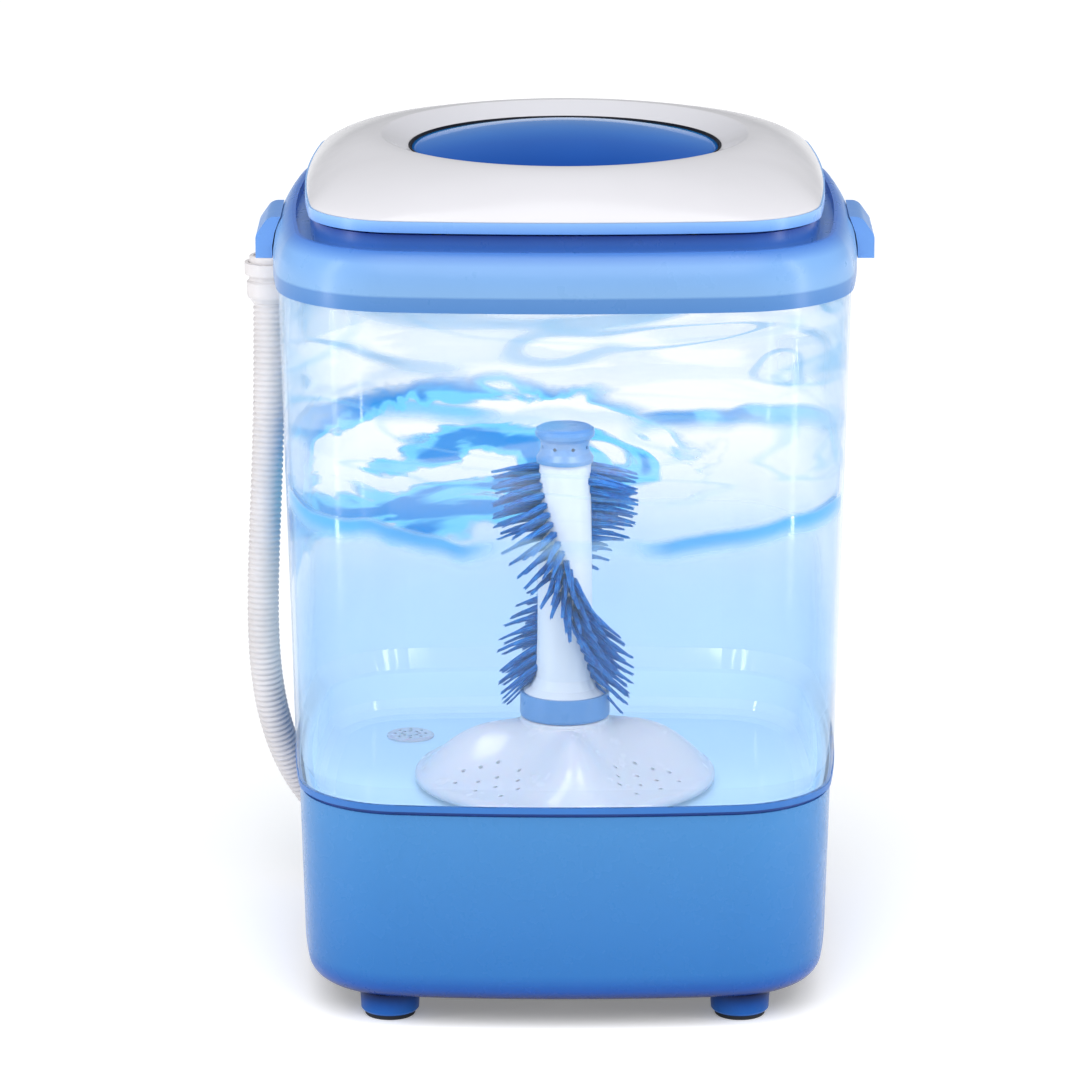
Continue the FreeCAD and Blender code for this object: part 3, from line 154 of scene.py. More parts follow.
def moulded(name, tones, roughness, grain=0.12, grain_size=0.0007, coat=0.0, mottle=0.05,
            along="Z", **constants):
    """Moulded plastic: a tone for each place along an axis, faint mottling from the melt, uneven
    gloss from handling, and the fine spark-eroded grain of the mould. Tones are (place, colour)."""
    made = bpy.data.materials.new(name)
    made.use_nodes = True
    tree = made.node_tree
    shader = tree.nodes["Principled BSDF"]
    where = node_in(tree, "ShaderNodeTexCoord").outputs["Object"]
    axes = node_in(tree, "ShaderNodeSeparateXYZ", {"Vector": where})
    low, high = tones[0][0], tones[-1][0]
    share = node_in(tree, "ShaderNodeMapRange", {
        "Value": axes.outputs[along], "From Min": low, "From Max": max(high, low + 0.001)})
    tone = node_in(tree, "ShaderNodeValToRGB", {"Fac": share.outputs["Result"]})
    ramp = tone.color_ramp
    while len(ramp.elements) < len(tones):
        ramp.elements.new(0.5)
    for element, (place, colour) in zip(ramp.elements, tones):
        element.position = (place - low) / max(high - low, 0.001)
        element.color = colour
    cloud = node_in(tree, "ShaderNodeTexNoise", {"Vector": where, "Scale": 26.0, "Detail": 4.0})
    lift = node_in(tree, "ShaderNodeMapRange", {
        "Value": cloud.outputs["Fac"], "From Min": 0.3, "From Max": 0.7,
        "To Min": 1 - mottle, "To Max": 1 + mottle})
    shaded = node_in(tree, "ShaderNodeHueSaturation", {
        "Color": tone.outputs["Color"], "Value": lift.outputs["Result"]})
    tree.links.new(shaded.outputs["Color"], shader.inputs["Base Color"])
    rub = node_in(tree, "ShaderNodeTexNoise", {"Vector": where, "Scale": 70.0, "Detail": 5.0})
    gloss = node_in(tree, "ShaderNodeMapRange", {
        "Value": rub.outputs["Fac"], "From Min": 0.3, "From Max": 0.7,
        "To Min": roughness * 0.86, "To Max": roughness * 1.14})
    tree.links.new(gloss.outputs["Result"], shader.inputs["Roughness"])
    spark = node_in(tree, "ShaderNodeTexNoise", {
        "Vector": where, "Scale": 1 / grain_size, "Detail": 2.0})
    bump = node_in(tree, "ShaderNodeBump", {
        "Strength": grain, "Distance": grain_size * 0.4, "Height": spark.outputs["Fac"]})
    tree.links.new(bump.outputs["Normal"], shader.inputs["Normal"])
    shader.inputs["Coat Weight"].default_value = coat
    shader.inputs["Coat Roughness"].default_value = 0.12
    for socket, value in constants.items():
        shader.inputs[socket.replace("_", " ")].default_value = value
    return made


def plain(name, colour, roughness, **more):
    """Moulded plastic, metal or rubber of one colour all over."""
    return moulded(name, [(0.0, colour), (1.0, colour)], roughness, **more)


def finish_nodes(material, *names):
    """Gives CAD parts whose shape is right their real finish."""
    for name in names:
        for place in bare[name].material_slots:
            place.material = material


hose_grey = plain("hose_grey", paint(212, 208, 209), 0.42, grain=0.1, Specular_IOR_Level=0.35)
hose_route = [(-0.1463, 0.1341, 0.0469), (-0.1562, 0.1276, 0.0620), (-0.1652, 0.1202, 0.0805),
              (-0.1724, 0.1132, 0.1025), (-0.1772, 0.1074, 0.1285), (-0.1794, 0.1036, 0.1580),
              (-0.1793, 0.1016, 0.1920), (-0.1776, 0.1008, 0.2310), (-0.1754, 0.1004, 0.2750),
              (-0.1739, 0.1001, 0.3210), (-0.1735, 0.1000, 0.3660)]
hose_outer, hose_bore, hose_around = 0.0096, 0.0072, 30
ring_pitch, ring_depth, ring_steps = 0.0034, 0.0012, 6


def route_points(name, places):
    """The smooth line of a hose or wire, read from a NURBS spline through its control points."""
    data = bpy.data.curves.new(name, "CURVE")
    data.dimensions = "3D"
    data.resolution_u = 24
    line = data.splines.new("NURBS")
    line.points.add(len(places) - 1)
    for point, place in zip(line.points, places):
        point.co = (*place, 1.0)
    line.order_u = 3
    line.use_endpoint_u = True
    holder = bpy.data.objects.new(name, data)
    scene.collection.objects.link(holder)
    bpy.context.view_layer.update()
    mesh = bpy.data.meshes.new_from_object(holder.evaluated_get(
        bpy.context.evaluated_depsgraph_get()))
    found = [v.co.copy() for v in mesh.vertices]
    bpy.data.objects.remove(holder)
    return found


def even_steps(points, step):
    """Points at even distances along a line, first and last kept."""
    far = [0.0]
    for before, after in zip(points, points[1:]):
        far.append(far[-1] + (after - before).length)
    count = max(2, round(far[-1] / step))
    found, place = [], 0
    for index in range(count + 1):
        want = far[-1] * index / count
        while place < len(far) - 2 and far[place + 1] < want:
            place += 1
        span = far[place + 1] - far[place]
        found.append(points[place].lerp(points[place + 1], (want - far[place]) / span if span else 0))
    return found


def swept_tube(name, line, outer_at, bore, around, bore_every):
    """A hollow tube along a line. outer_at gives the outer radius at each step; the plain bore
    needs only some of the steps."""
    across = Vector((0, 1, 0))
    rows = []
    for index, place in enumerate(line):
        ahead = (line[min(index + 1, len(line) - 1)] - line[max(index - 1, 0)]).normalized()
        across = (across - ahead * across.dot(ahead)).normalized()
        rows.append((place, across.copy(), ahead.cross(across)))
    loops = [(row, outer_at(index)) for index, row in enumerate(rows)]
    loops += [(row, bore) for row in reversed(rows[::bore_every] + [rows[-1]])]
    points, faces = [], []
    for (place, one, two), radius in loops:
        for turn in range(around):
            angle = 2 * math.pi * turn / around
            points.append(place + (one * math.cos(angle) + two * math.sin(angle)) * radius)
    for loop in range(len(loops)):
        after = (loop + 1) % len(loops)
        for turn in range(around):
            beside = (turn + 1) % around
            faces.append((loop * around + turn, loop * around + beside,
                          after * around + beside, after * around + turn))
    return mesh_piece(name, points, faces)


hose_line = even_steps(route_points("hose_route", hose_route), ring_pitch / ring_steps)


def ring_radius(index):
    """The outer radius at a step: a rounded ring, then a narrow groove."""
    crest = 0.5 + 0.5 * math.cos(2 * math.pi * index / ring_steps)
    return hose_outer - ring_depth * (1 - crest ** 0.7)


drain_hose = swept_tube("corrugated_hose", hose_line, ring_radius, hose_bore, hose_around, ring_steps)
drain_hose.data.materials.append(hose_grey)
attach(drain_hose, "cabinet")
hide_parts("drain_hose")

# The cuff, its clip and the elbow are stiffer mouldings of the same grey.
finish_nodes(hose_grey, "hose_cuff", "hose_clip", "drain_outlet")

# ---------------------------------------------------------------------------------------------
# Base housing, bottom cover and feet. One deep tray of solid blue polypropylene with a satin
# skin, louvred at the back, closed below by a screwed cover, on four moulded feet with pads.
# ---------------------------------------------------------------------------------------------

# painted shade: the base's blue darkens towards the bottom and turns nearly black along the lower edge,
# standing in for the shade under the base
base_blue = moulded("base_blue", [
    (0.0155, paint(2, 12, 44)), (0.0180, paint(4, 34, 100)), (0.0230, paint(14, 78, 162)),
    (0.0330, paint(40, 108, 176)), (0.0600, paint(50, 116, 182)), (0.1265, paint(66, 130, 190))],
    0.27, grain=0.02, grain_size=0.0016, mottle=0.008, Specular_IOR_Level=0.24)
# painted shade: the feet darken towards their tops, nearly black where they meet the base, standing in
# for the shadow under it
foot_blue_painted_shade = moulded("foot_blue_painted_shade", [(0.003, paint(30, 96, 176)), (0.009, paint(18, 72, 148)),
                                  (0.0154, paint(4, 20, 62))], 0.36, mottle=0.03,
                    Specular_IOR_Level=0.14)
finish_nodes(base_blue, "base_housing", "bottom_cover")
finish_nodes(foot_blue_painted_shade, "foot_front_left", "foot_front_right", "foot_rear_left", "foot_rear_right")
rubber_dark = plain("rubber_dark", paint(38, 41, 48), 0.72, grain=0.35, grain_size=0.0011,
                    Specular_IOR_Level=0.25)
finish_nodes(rubber_dark, "foot_pads", "lid_buffers", "shaft_seal")

# ---------------------------------------------------------------------------------------------
# Seam. A deep blue rubber gasket lies between base and tub, under a thin trim ring of blue
# polypropylene that is snapped over the tub's foot.
# ---------------------------------------------------------------------------------------------

finish_nodes(plain("deep_blue", paint(14, 70, 150), 0.55, grain=0.25), "seam_gasket")
finish_nodes(plain("trim_blue", paint(56, 112, 184), 0.34, Specular_IOR_Level=0.2), "tub_trim")

# ---------------------------------------------------------------------------------------------
# Tub. A flared, rounded-square tub moulded in clear pale blue plastic and printed with a drifting
# water pattern: marbling high up, a water line at mid height, and a whirl of blue on the back
# wall, which is frosted towards its foot.
# ---------------------------------------------------------------------------------------------

clear_blue = bpy.data.materials.new("clear_blue")
clear_blue.use_nodes = True
tub_tree = clear_blue.node_tree


def calc(kind, one, two=0.0, three=0.0):
    """One sum on the tub's print, held in numbers or in other sums."""
    made = tub_tree.nodes.new("ShaderNodeMath")
    made.operation = kind
    for place, value in enumerate((one, two, three)):
        if isinstance(value, bpy.types.NodeSocket):
            tub_tree.links.new(value, made.inputs[place])
        else:
            made.inputs[place].default_value = value
    return made.outputs[0]


def fade(value, start, end, low=0.0, high=1.0):
    """A smooth step from low at start to high at end."""
    return node_in(tub_tree, "ShaderNodeMapRange", {
        "Value": value, "From Min": start, "From Max": end, "To Min": low, "To Max": high},
        interpolation_type="SMOOTHSTEP").outputs["Result"]


def drift(stretch, scale, detail=3.0, warp=0.0, shift=(0, 0, 0)):
    """A noise stretched along the wall, as water drifts."""
    placed = node_in(tub_tree, "ShaderNodeMapping", {
        "Vector": tub_place, "Scale": stretch, "Location": shift})
    return node_in(tub_tree, "ShaderNodeTexNoise", {
        "Vector": placed.outputs["Vector"], "Scale": scale, "Detail": detail,
        "Distortion": warp}).outputs["Fac"]


tub_place = node_in(tub_tree, "ShaderNodeTexCoord").outputs["Object"]
tub_axes = node_in(tub_tree, "ShaderNodeSeparateXYZ", {"Vector": tub_place})
tub_x, tub_y, tub_z = (tub_axes.outputs[axis] for axis in "XYZ")
at_back = fade(tub_y, -0.02, 0.02)
off_centre = fade(calc("ABSOLUTE", tub_x), 0.030, 0.062)

# marbling: broad pale clouds, with thin bright and blue threads where the noise crosses its middle
marble = drift((0.5, 0.5, 2.9), 6.5, detail=1.2, warp=1.8)
thread = fade(calc("ABSOLUTE", calc("SUBTRACT", marble, 0.5)), 0.034, 0.004)
cloud_share = fade(drift((0.7, 0.7, 3.2), 6.0, detail=1.5, warp=2.0, shift=(3, 1, 5)), 0.44, 0.54)
high_up = calc("MULTIPLY", fade(tub_z, 0.288, 0.318), fade(tub_z, 0.425, 0.405))
marble_share = calc("MULTIPLY", calc("MAXIMUM", calc("MULTIPLY", cloud_share, 0.55), thread), high_up)

# water line: a wavering band that dips towards the middle
waver = drift((1.0, 1.0, 0.0), 14.0, detail=2.0, warp=0.6, shift=(7, 2, 0))
line_level = calc("ADD", calc("MULTIPLY_ADD", calc("MULTIPLY", tub_x, tub_x), 0.62, 0.284),
                  calc("MULTIPLY", calc("SUBTRACT", waver, 0.5), 0.020))
line_off = calc("SUBTRACT", tub_z, line_level)
line_share = calc("MULTIPLY", fade(line_off, 0.004, 0.0), fade(line_off, -0.014, -0.001))

# whirl: a spiral of blue tongues on the back wall, wider than tall
swirl_noise = drift((1.0, 1.0, 2.2), 13.0, detail=3.5, warp=1.2, shift=(1, 4, 2))
whirl_x = calc("MULTIPLY", calc("ADD", tub_x, 0.062), 7.4)
whirl_z = calc("MULTIPLY", calc("SUBTRACT", tub_z, 0.258), 21.0)
whirl_r = calc("SQRT", calc("ADD", calc("MULTIPLY", whirl_x, whirl_x),
                            calc("MULTIPLY", whirl_z, whirl_z)))
whirl_a = calc("ARCTAN2", whirl_z, whirl_x)
tongue = calc("SINE", calc("ADD", calc("MULTIPLY_ADD", whirl_r, 7.5, whirl_a),
                           calc("MULTIPLY", swirl_noise, 9.0)))
whirl_share = calc("MULTIPLY", fade(tongue, -0.65, -0.1),
                   fade(calc("ADD", whirl_r, calc("MULTIPLY", swirl_noise, 0.6)), 1.45, 1.15))
blue_share = calc("MAXIMUM", calc("MULTIPLY", whirl_share, at_back),
                  calc("MULTIPLY", line_share, calc("MULTIPLY_ADD", off_centre, 0.62, 0.2)))

pale_wall = node_in(tub_tree, "ShaderNodeValToRGB", {"Fac": fade(tub_z, 0.13, 0.42)})
pale_wall.color_ramp.elements[0].color = paint(206, 233, 250)
pale_wall.color_ramp.elements[1].color = paint(166, 216, 244)


def blended(share, under, over):
    """One colour of the print laid over another."""
    return node_in(tub_tree, "ShaderNodeMixRGB", {
        "Fac": share, "Color1": under, "Color2": over}).outputs["Color"]


# the print's colours, over a wall that darkens where it is seen edge on
line_blue = blended(swirl_noise, paint(0, 118, 196), paint(30, 166, 226))
whirl_blue = blended(fade(tongue, 0.1, 0.7), paint(118, 214, 248), paint(0, 142, 218))
tub_colour = blended(marble_share, pale_wall.outputs["Color"],
                     blended(thread, paint(252, 254, 255), paint(132, 202, 240)))
tub_colour = blended(blue_share, tub_colour, blended(at_back, line_blue, whirl_blue))
edge_on = node_in(tub_tree, "ShaderNodeLayerWeight", {"Blend": 0.22}).outputs["Facing"]
tub_colour = blended(calc("MULTIPLY", edge_on, 0.8), tub_colour, paint(74, 138, 192))
tub_shader = tub_tree.nodes["Principled BSDF"]
tub_tree.links.new(tub_colour, tub_shader.inputs["Base Color"])

# how solid the wall is: clear in front, frosted low down at the back and in the basin
basin_share = fade(tub_z, 0.1305, 0.1285)
frosted = calc("MULTIPLY", fade(tub_z, 0.30, 0.13, 0.0, 0.93), fade(tub_y, -0.125, 0.12))
frosted = calc("MAXIMUM", frosted, calc("MULTIPLY", basin_share, 0.97))
clear_share = calc("ADD", 0.035, calc("MULTIPLY", edge_on, 0.55))
clear_share = calc("MAXIMUM", clear_share, frosted)
marble_cover = calc("MULTIPLY_ADD", at_back, 0.26, 0.14)
print_share = calc("MAXIMUM", calc("MULTIPLY", marble_share, marble_cover),
                   calc("MULTIPLY", blue_share, 0.96))
tub_tree.links.new(calc("MINIMUM", calc("ADD", clear_share, print_share), 0.97),
                   tub_shader.inputs["Alpha"])

# the wall's slow waviness and uneven gloss, and a painted glow: the frosted wall and the blue print give
# off light, standing in for light scattered inside the tub
flow = drift((1.0, 1.0, 0.3), 4.0, detail=2.0)
tub_tree.links.new(node_in(tub_tree, "ShaderNodeBump", {
    "Strength": 0.25, "Distance": 0.004, "Height": flow}).outputs["Normal"],
    tub_shader.inputs["Normal"])
tub_tree.links.new(fade(drift((1, 1, 1), 60.0), 0.3, 0.7, 0.05, 0.12), tub_shader.inputs["Roughness"])
tub_tree.links.new(tub_colour, tub_shader.inputs["Emission Color"])
painted_glow = calc("MAXIMUM", calc("MULTIPLY", frosted, 0.26), calc("MULTIPLY", blue_share, 0.20))
tub_tree.links.new(painted_glow, tub_shader.inputs["Emission Strength"])
finish_nodes(clear_blue, "tub")

# ---------------------------------------------------------------------------------------------
# Collar and handles. A moulded ring of blue polypropylene crowns the tub, with a satin shoulder
# and a return at its foot; painted shade darkens the return and the neck under the lid's lip.
# The two carrying ears are screwed on from inside.
# ---------------------------------------------------------------------------------------------

# painted shade: the collar's blue is darker on the return at its foot than on the shoulder, and falls to
# near black on the neck under the lid's lip, standing in for the lip's shadow
collar_blue = moulded("collar_blue", [
    (0.4150, paint(76, 126, 188)), (0.4228, paint(84, 132, 190)), (0.4242, paint(124, 166, 212)),
    (0.4400, paint(118, 164, 220)), (0.4468, paint(70, 122, 204)), (0.4540, paint(6, 66, 156))],
    0.3, grain=0.02, grain_size=0.0016, mottle=0.015, Specular_IOR_Level=0.3)
finish_nodes(collar_blue, "collar_frame")
handle_blue = plain("handle_blue", paint(104, 152, 216), 0.34, grain=0.05, grain_size=0.0016,
                    mottle=0.02, Specular_IOR_Level=0.3)
finish_nodes(handle_blue, "handle_left", "handle_right", "timer_knob")

# ---------------------------------------------------------------------------------------------
# Lid frame and steel parts. The lid's frame is a blue polypropylene moulding, whose lip shows
# under the white dome; it hangs on two turned steel pins. The other pins, screws, shafts and
# bearings are of the same bright steel.
# ---------------------------------------------------------------------------------------------

# painted shade: the frame's blue darkens from the lip down to near black on the skirt beneath it,
# standing in for the lip's shadow
lid_blue_painted_shade = moulded("lid_blue_painted_shade", [(0.4470, paint(6, 62, 148)), (0.4554, paint(98, 152, 228)),
                                (0.4615, paint(136, 182, 236))], 0.3, grain=0.05, grain_size=0.0016,
                   mottle=0.015, Specular_IOR_Level=0.3)
finish_nodes(lid_blue_painted_shade, "lid_frame")
steel = plain("steel", paint(196, 198, 202), 0.3, grain=0.2, grain_size=0.0003, Metallic=1.0)
finish_nodes(steel, "hinge_pin_left", "hinge_pin_right", "bottom_cover_screws", "pulsator_screw",
             "pulsator_shaft", "pulley_nut", "bearing_lower", "bearing_upper", "floor_screws",
             "motor_bushes", "motor_bracket", "motor_shaft", "capacitor_clip", "timer_shaft")

# ---------------------------------------------------------------------------------------------
# Lid shell. A glossy white moulded dome, snapped on the frame, that swells from the
# rounded-square lip to a round crest and falls in a smooth cone to the window's seat.
# ---------------------------------------------------------------------------------------------

side_bow, collar_half, corner_at = 0.9075, 0.165, 0.08832
dome_around, dome_rows = 192, 40
dome_low, dome_crest, dome_inset, crest_reach = 0.4615, 0.4852, 0.0191, 0.1054
seat_reach, seat_bore, seat_drop, well_drop, shell_wall = 0.0885, 0.0835, 0.0020, 0.0067, 0.0024


def dome_reach(angle, inset, share, crest):
    """How far the dome's outline lies from the centre at an angle, as it turns from a rounded
    square at share 0 into a circle at share 1."""
    corner = corner_at * (1 - share)
    offset = (side_bow - collar_half) * (1 - share) ** 3
    half = (collar_half - inset) * (1 - share) + crest * share
    if share == 1:
        return half
    bow = offset + half
    turn = (angle + math.pi / 4) % (math.pi / 2) - math.pi / 4
    split = math.atan2(corner, corner + offset)
    along, side = math.cos(turn), abs(math.sin(turn))
    reach = -offset * along + math.sqrt(max(bow ** 2 - (offset * side) ** 2, 0))
    if math.atan2(reach * side, reach * along + offset) <= split:
        return reach
    small = bow - math.hypot(corner, corner + offset)
    toward = corner * (along + side)
    return toward + math.sqrt(max(small ** 2 - (2 * corner ** 2 - toward ** 2), 0))


def dome_rings(step_in, lower):
    """The share, inset, crest radius and height of each ring, from the lip up to the crest."""
    rings = []
    for row in range(dome_rows + 1):
        share = (row / dome_rows) ** 1.4
        rise = (dome_crest - lower - dome_low) * math.sin(share * math.pi / 2) ** 0.82
        rings.append((share, dome_inset + step_in, crest_reach - step_in, dome_low + rise))
    return rings


def ring_of(reach_at, height):
    """One ring of points round the lid's axis."""
    angles = [2 * math.pi * turn / dome_around for turn in range(dome_around)]
    return [Vector((reach_at(angle) * math.cos(angle), reach_at(angle) * math.sin(angle), height))
            for angle in angles]


shell_rings = [ring_of(lambda a: dome_reach(a, inset, share, crest), height)
               for share, inset, crest, height in dome_rings(0.0, 0.0)]
well = dome_crest - well_drop
seat, seat_under = well - seat_drop, well - seat_drop - shell_wall
for reach, height in ((0.1046, dome_crest + 0.00005), (0.1036, dome_crest - 0.00015),
                      (0.1027, dome_crest - 0.0006), (0.1016, dome_crest - 0.0011),
                      (0.0960, well + 0.0031), (0.0910, well + 0.0009), (0.0897, well + 0.0003),
                      (0.0889, well - 0.0001), (seat_reach, well - 0.0006), (seat_reach, seat),
                      (seat_bore, seat), (seat_bore, seat_under),
                      (seat_reach + 0.0020, seat_under), (0.0990, well + 0.0010 - shell_wall)):
    shell_rings.append(ring_of(lambda a: reach, height))
shell_rings += [ring_of(lambda a: dome_reach(a, inset, share, crest), height)
                for share, inset, crest, height in reversed(dome_rings(shell_wall, shell_wall))]
shell_faces = [(ring * dome_around + turn, ring * dome_around + (turn + 1) % dome_around,
                (ring + 1) % len(shell_rings) * dome_around + (turn + 1) % dome_around,
                (ring + 1) % len(shell_rings) * dome_around + turn)
               for ring in range(len(shell_rings)) for turn in range(dome_around)]
lid_shell = mesh_piece("lid_dome", [p for ring in shell_rings for p in ring], shell_faces)
shell_white = plain("shell_white", paint(217, 216, 221), 0.2, grain=0.02, grain_size=0.002, mottle=0.008,
                    Specular_IOR_Level=0.4)
lid_shell.data.materials.append(shell_white)
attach(lid_shell, "lid")
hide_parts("lid_shell")

# ---------------------------------------------------------------------------------------------
# Lid window. A shallow dome moulded in deep blue see-through plastic, dropped on its gasket and
# held in the dome's seat.
# ---------------------------------------------------------------------------------------------

# painted reflection: the window's blue lightens from front to back, standing in for the glossy
# reflection of the bright sky; its own gloss is kept low
lens_blue = moulded("lens_blue", [(-0.0875, paint(0, 66, 156)), (-0.030, paint(0, 90, 184)),
                                  (0.030, paint(0, 128, 220)), (0.0875, paint(16, 184, 255))],
                    0.08, grain=0.0, mottle=0.03, along="Y", Alpha=0.97, Specular_IOR_Level=0.06)
lens_reach, lens_edge, lens_crown, lens_thick, lens_rows = 0.0866, 0.4772, 0.4873, 0.0022, 26
lens_sag = lens_crown - lens_edge
lens_ball = (lens_reach ** 2 + lens_sag ** 2) / (2 * lens_sag)


def turned_skin(name, profile):
    """A closed turned piece from (radius, height) points that run once round its section."""
    points = [Vector((radius * math.cos(2 * math.pi * turn / dome_around),
                      radius * math.sin(2 * math.pi * turn / dome_around), height))
              for radius, height in profile for turn in range(dome_around)]
    faces = [(row * dome_around + turn, row * dome_around + (turn + 1) % dome_around,
              (row + 1) % len(profile) * dome_around + (turn + 1) % dome_around,
              (row + 1) % len(profile) * dome_around + turn)
             for row in range(len(profile)) for turn in range(dome_around)]
    return mesh_piece(name, points, faces)


def lens_level(radius, thickness=0.0):
    """The height of the window's ball-shaped face at a radius."""
    return lens_crown - thickness - (lens_ball - math.sqrt(lens_ball ** 2 - radius ** 2))


lens_steps = [lens_reach * row / lens_rows for row in range(lens_rows + 1)]
lens_profile = [(radius, lens_level(radius)) for radius in lens_steps]
lens_profile += [(radius, lens_level(radius, lens_thick)) for radius in reversed(lens_steps)]
window = turned_skin("lid_window", lens_profile)
work = bmesh.new()
work.from_mesh(window.data)
bmesh.ops.remove_doubles(work, verts=work.verts, dist=0.00001)
bmesh.ops.delete(work, geom=[e for e in work.edges if not e.link_faces], context="EDGES")
bmesh.ops.recalc_face_normals(work, faces=work.faces)
work.to_mesh(window.data)
work.free()
window.data.materials.append(lens_blue)
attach(window, "lid")
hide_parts("lid_lens")

# ---------------------------------------------------------------------------------------------
# Window gasket. A ring of black rubber with an upright edge, moulded in one and pressed into the
# seat; its edge shows as a thin dark line round the window.
# ---------------------------------------------------------------------------------------------

gasket_low, gasket_ledge, gasket_top = 0.4765, 0.4768, 0.4785
seal = turned_skin("window_gasket", [
    (0.0839, gasket_low), (0.0884, gasket_low), (0.0884, gasket_top - 0.00015), (0.0882, gasket_top),
    (0.0876, gasket_top), (0.0874, gasket_top - 0.00015), (0.0873, gasket_ledge),
    (0.0839, gasket_ledge)])
gasket_black = plain("gasket_black", paint(10, 14, 28), 0.5, grain=0.2, Specular_IOR_Level=0.2)
seal.data.materials.append(gasket_black)
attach(seal, "lid")
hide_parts("lens_gasket")

# ---------------------------------------------------------------------------------------------
# Pulsator. A white polypropylene disc, moulded with four soft paddles and sectors of small
# drain holes; a steel screw holds it to the shaft under the brush.
# ---------------------------------------------------------------------------------------------

pulsator_white = plain("pulsator_white", paint(208, 213, 226), 0.25, coat=0.1, grain=0.04, mottle=0.015,
                       Subsurface_Weight=0.15, Subsurface_Scale=0.004)
finish_nodes(pulsator_white, "drain_strainer")
disc_rim, disc_low, hub_reach, hub_level, disc_skin = 0.0870, 0.1060, 0.0260, 0.1430, 0.0026
post_reach, post_level, shaft_bore, screw_bore = 0.0114, 0.1490, 0.00405, 0.00275
disc_around, paddle_rise, paddle_width, paddle_turn = 288, 0.0185, 0.38, 0.10
boss_reach, boss_under, bore_top, hub_round, hollow_reach = 0.0130, 0.1240, 0.1382, 0.0022, 0.0360
hole_radius, hole_deep, sector_turn = 0.0012, 0.040, 47.0
hole_sector = ((0.048, (-10, 10)), (0.057, (-15, 0, 15)), (0.066, (-19, -6, 6, 19)),
               (0.075, (-14, 0, 14)))


def dish_level(radius, angle):
    """The disc's upper face: a swelling dish with a soft paddle at each quarter."""
    share = (disc_rim - radius) / (disc_rim - hub_reach)
    off = (angle - paddle_turn + math.pi / 4) % (math.pi / 2) - math.pi / 4
    out = min(max((radius - hub_reach) / (disc_rim - 0.003 - hub_reach), 0), 1)
    paddle = paddle_rise * math.exp(-(off / (paddle_width * (1.15 - 0.45 * out))) ** 2)
    dish = disc_low + 0.005 + 0.009 * share + 0.020 * share ** 4
    return dish + paddle * math.sin(math.pi * out ** 0.9) ** 0.9


def level_ring(reach, level):
    """A ring of the disc that lies level."""
    return [(reach, level)] * disc_around


def dish_ring(reach, lower):
    """A ring of the disc that follows the dish and its paddles, some way below their face."""
    return [(reach, dish_level(reach, angle) - lower) for angle in disc_angles]


# the section runs up over the hub, out along the dish, round the rim and back underneath
disc_angles = [2 * math.pi * turn / disc_around for turn in range(disc_around)]
disc_rows = [level_ring(*place) for place in (
    (post_reach, hub_level), (hub_reach - hub_round, hub_level),
    (hub_reach - 0.0006, hub_level - 0.0006), (hub_reach, hub_level - hub_round))]
upper_rows, under_rows, rim_in, skirt_in = 40, 28, 0.0012, 0.0046
for row in range(upper_rows + 1):
    disc_rows.append(dish_ring(hub_reach + (disc_rim - rim_in - hub_reach) * row / upper_rows,
                               0.0006 if row == upper_rows else 0))
disc_rows += [level_ring(*place) for place in (
    (disc_rim - 0.0003, disc_low + 0.0034), (disc_rim, disc_low + 0.0024), (disc_rim, disc_low),
    (disc_rim - disc_skin, disc_low), (disc_rim - disc_skin, disc_low + 0.0018))]
for row in range(under_rows, -1, -1):
    disc_rows.append(dish_ring(hollow_reach + (disc_rim - skirt_in - hollow_reach) * row / under_rows,
                               disc_skin))
disc_rows += [level_ring(*place) for place in (
    (boss_reach, boss_under), (boss_reach, disc_low), (shaft_bore, disc_low),
    (shaft_bore, bore_top), (screw_bore, bore_top), (screw_bore, post_level),
    (post_reach - 0.0006, post_level), (post_reach, post_level - 0.0006))]
disc_points = [(reach * math.cos(angle), reach * math.sin(angle), level)
               for row in disc_rows for angle, (reach, level) in zip(disc_angles, row)]
disc_faces = [(row * disc_around + turn, row * disc_around + (turn + 1) % disc_around,
               (row + 1) % len(disc_rows) * disc_around + (turn + 1) % disc_around,
               (row + 1) % len(disc_rows) * disc_around + turn)
              for row in range(len(disc_rows)) for turn in range(disc_around)]
pulsator = mesh_piece("pulsator_plate", disc_points, disc_faces)

# the drain holes are drilled straight through, between the paddles
drill_work = bmesh.new()
for quarter in range(4):
    for reach, spread in hole_sector:
        for degrees in spread:
            turn = math.radians(90.0 * quarter + sector_turn + degrees)
            bmesh.ops.create_cone(
                drill_work, cap_ends=True, segments=14, radius1=hole_radius, radius2=hole_radius,
                depth=hole_deep, matrix=Matrix.Translation(
                    (reach * math.cos(turn), reach * math.sin(turn), disc_low + 0.012)))
drill_mesh = bpy.data.meshes.new("drills")
drill_work.to_mesh(drill_mesh)
drill_work.free()
drills = bpy.data.objects.new("drills", drill_mesh)
scene.collection.objects.link(drills)
drilled = pulsator.modifiers.new("drilled", "BOOLEAN")
drilled.operation, drilled.solver, drilled.object = "DIFFERENCE", "EXACT", drills
bpy.context.view_layer.update()
pulsator.data = bpy.data.meshes.new_from_object(pulsator.evaluated_get(
    bpy.context.evaluated_depsgraph_get()))
pulsator.modifiers.clear()
bpy.data.objects.remove(drills)
pulsator.data.materials.clear()
pulsator.data.materials.append(pulsator_white)
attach(pulsator, "pulsator")
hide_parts("pulsator_disc")

# ---------------------------------------------------------------------------------------------
# Brush. A pale core on a blue ring, closed by a blue cap, that lifts off the hub for cleaning.
# Two spiral rows of nylon tufts are stapled into the core; the lowest splay over the ring.
# ---------------------------------------------------------------------------------------------

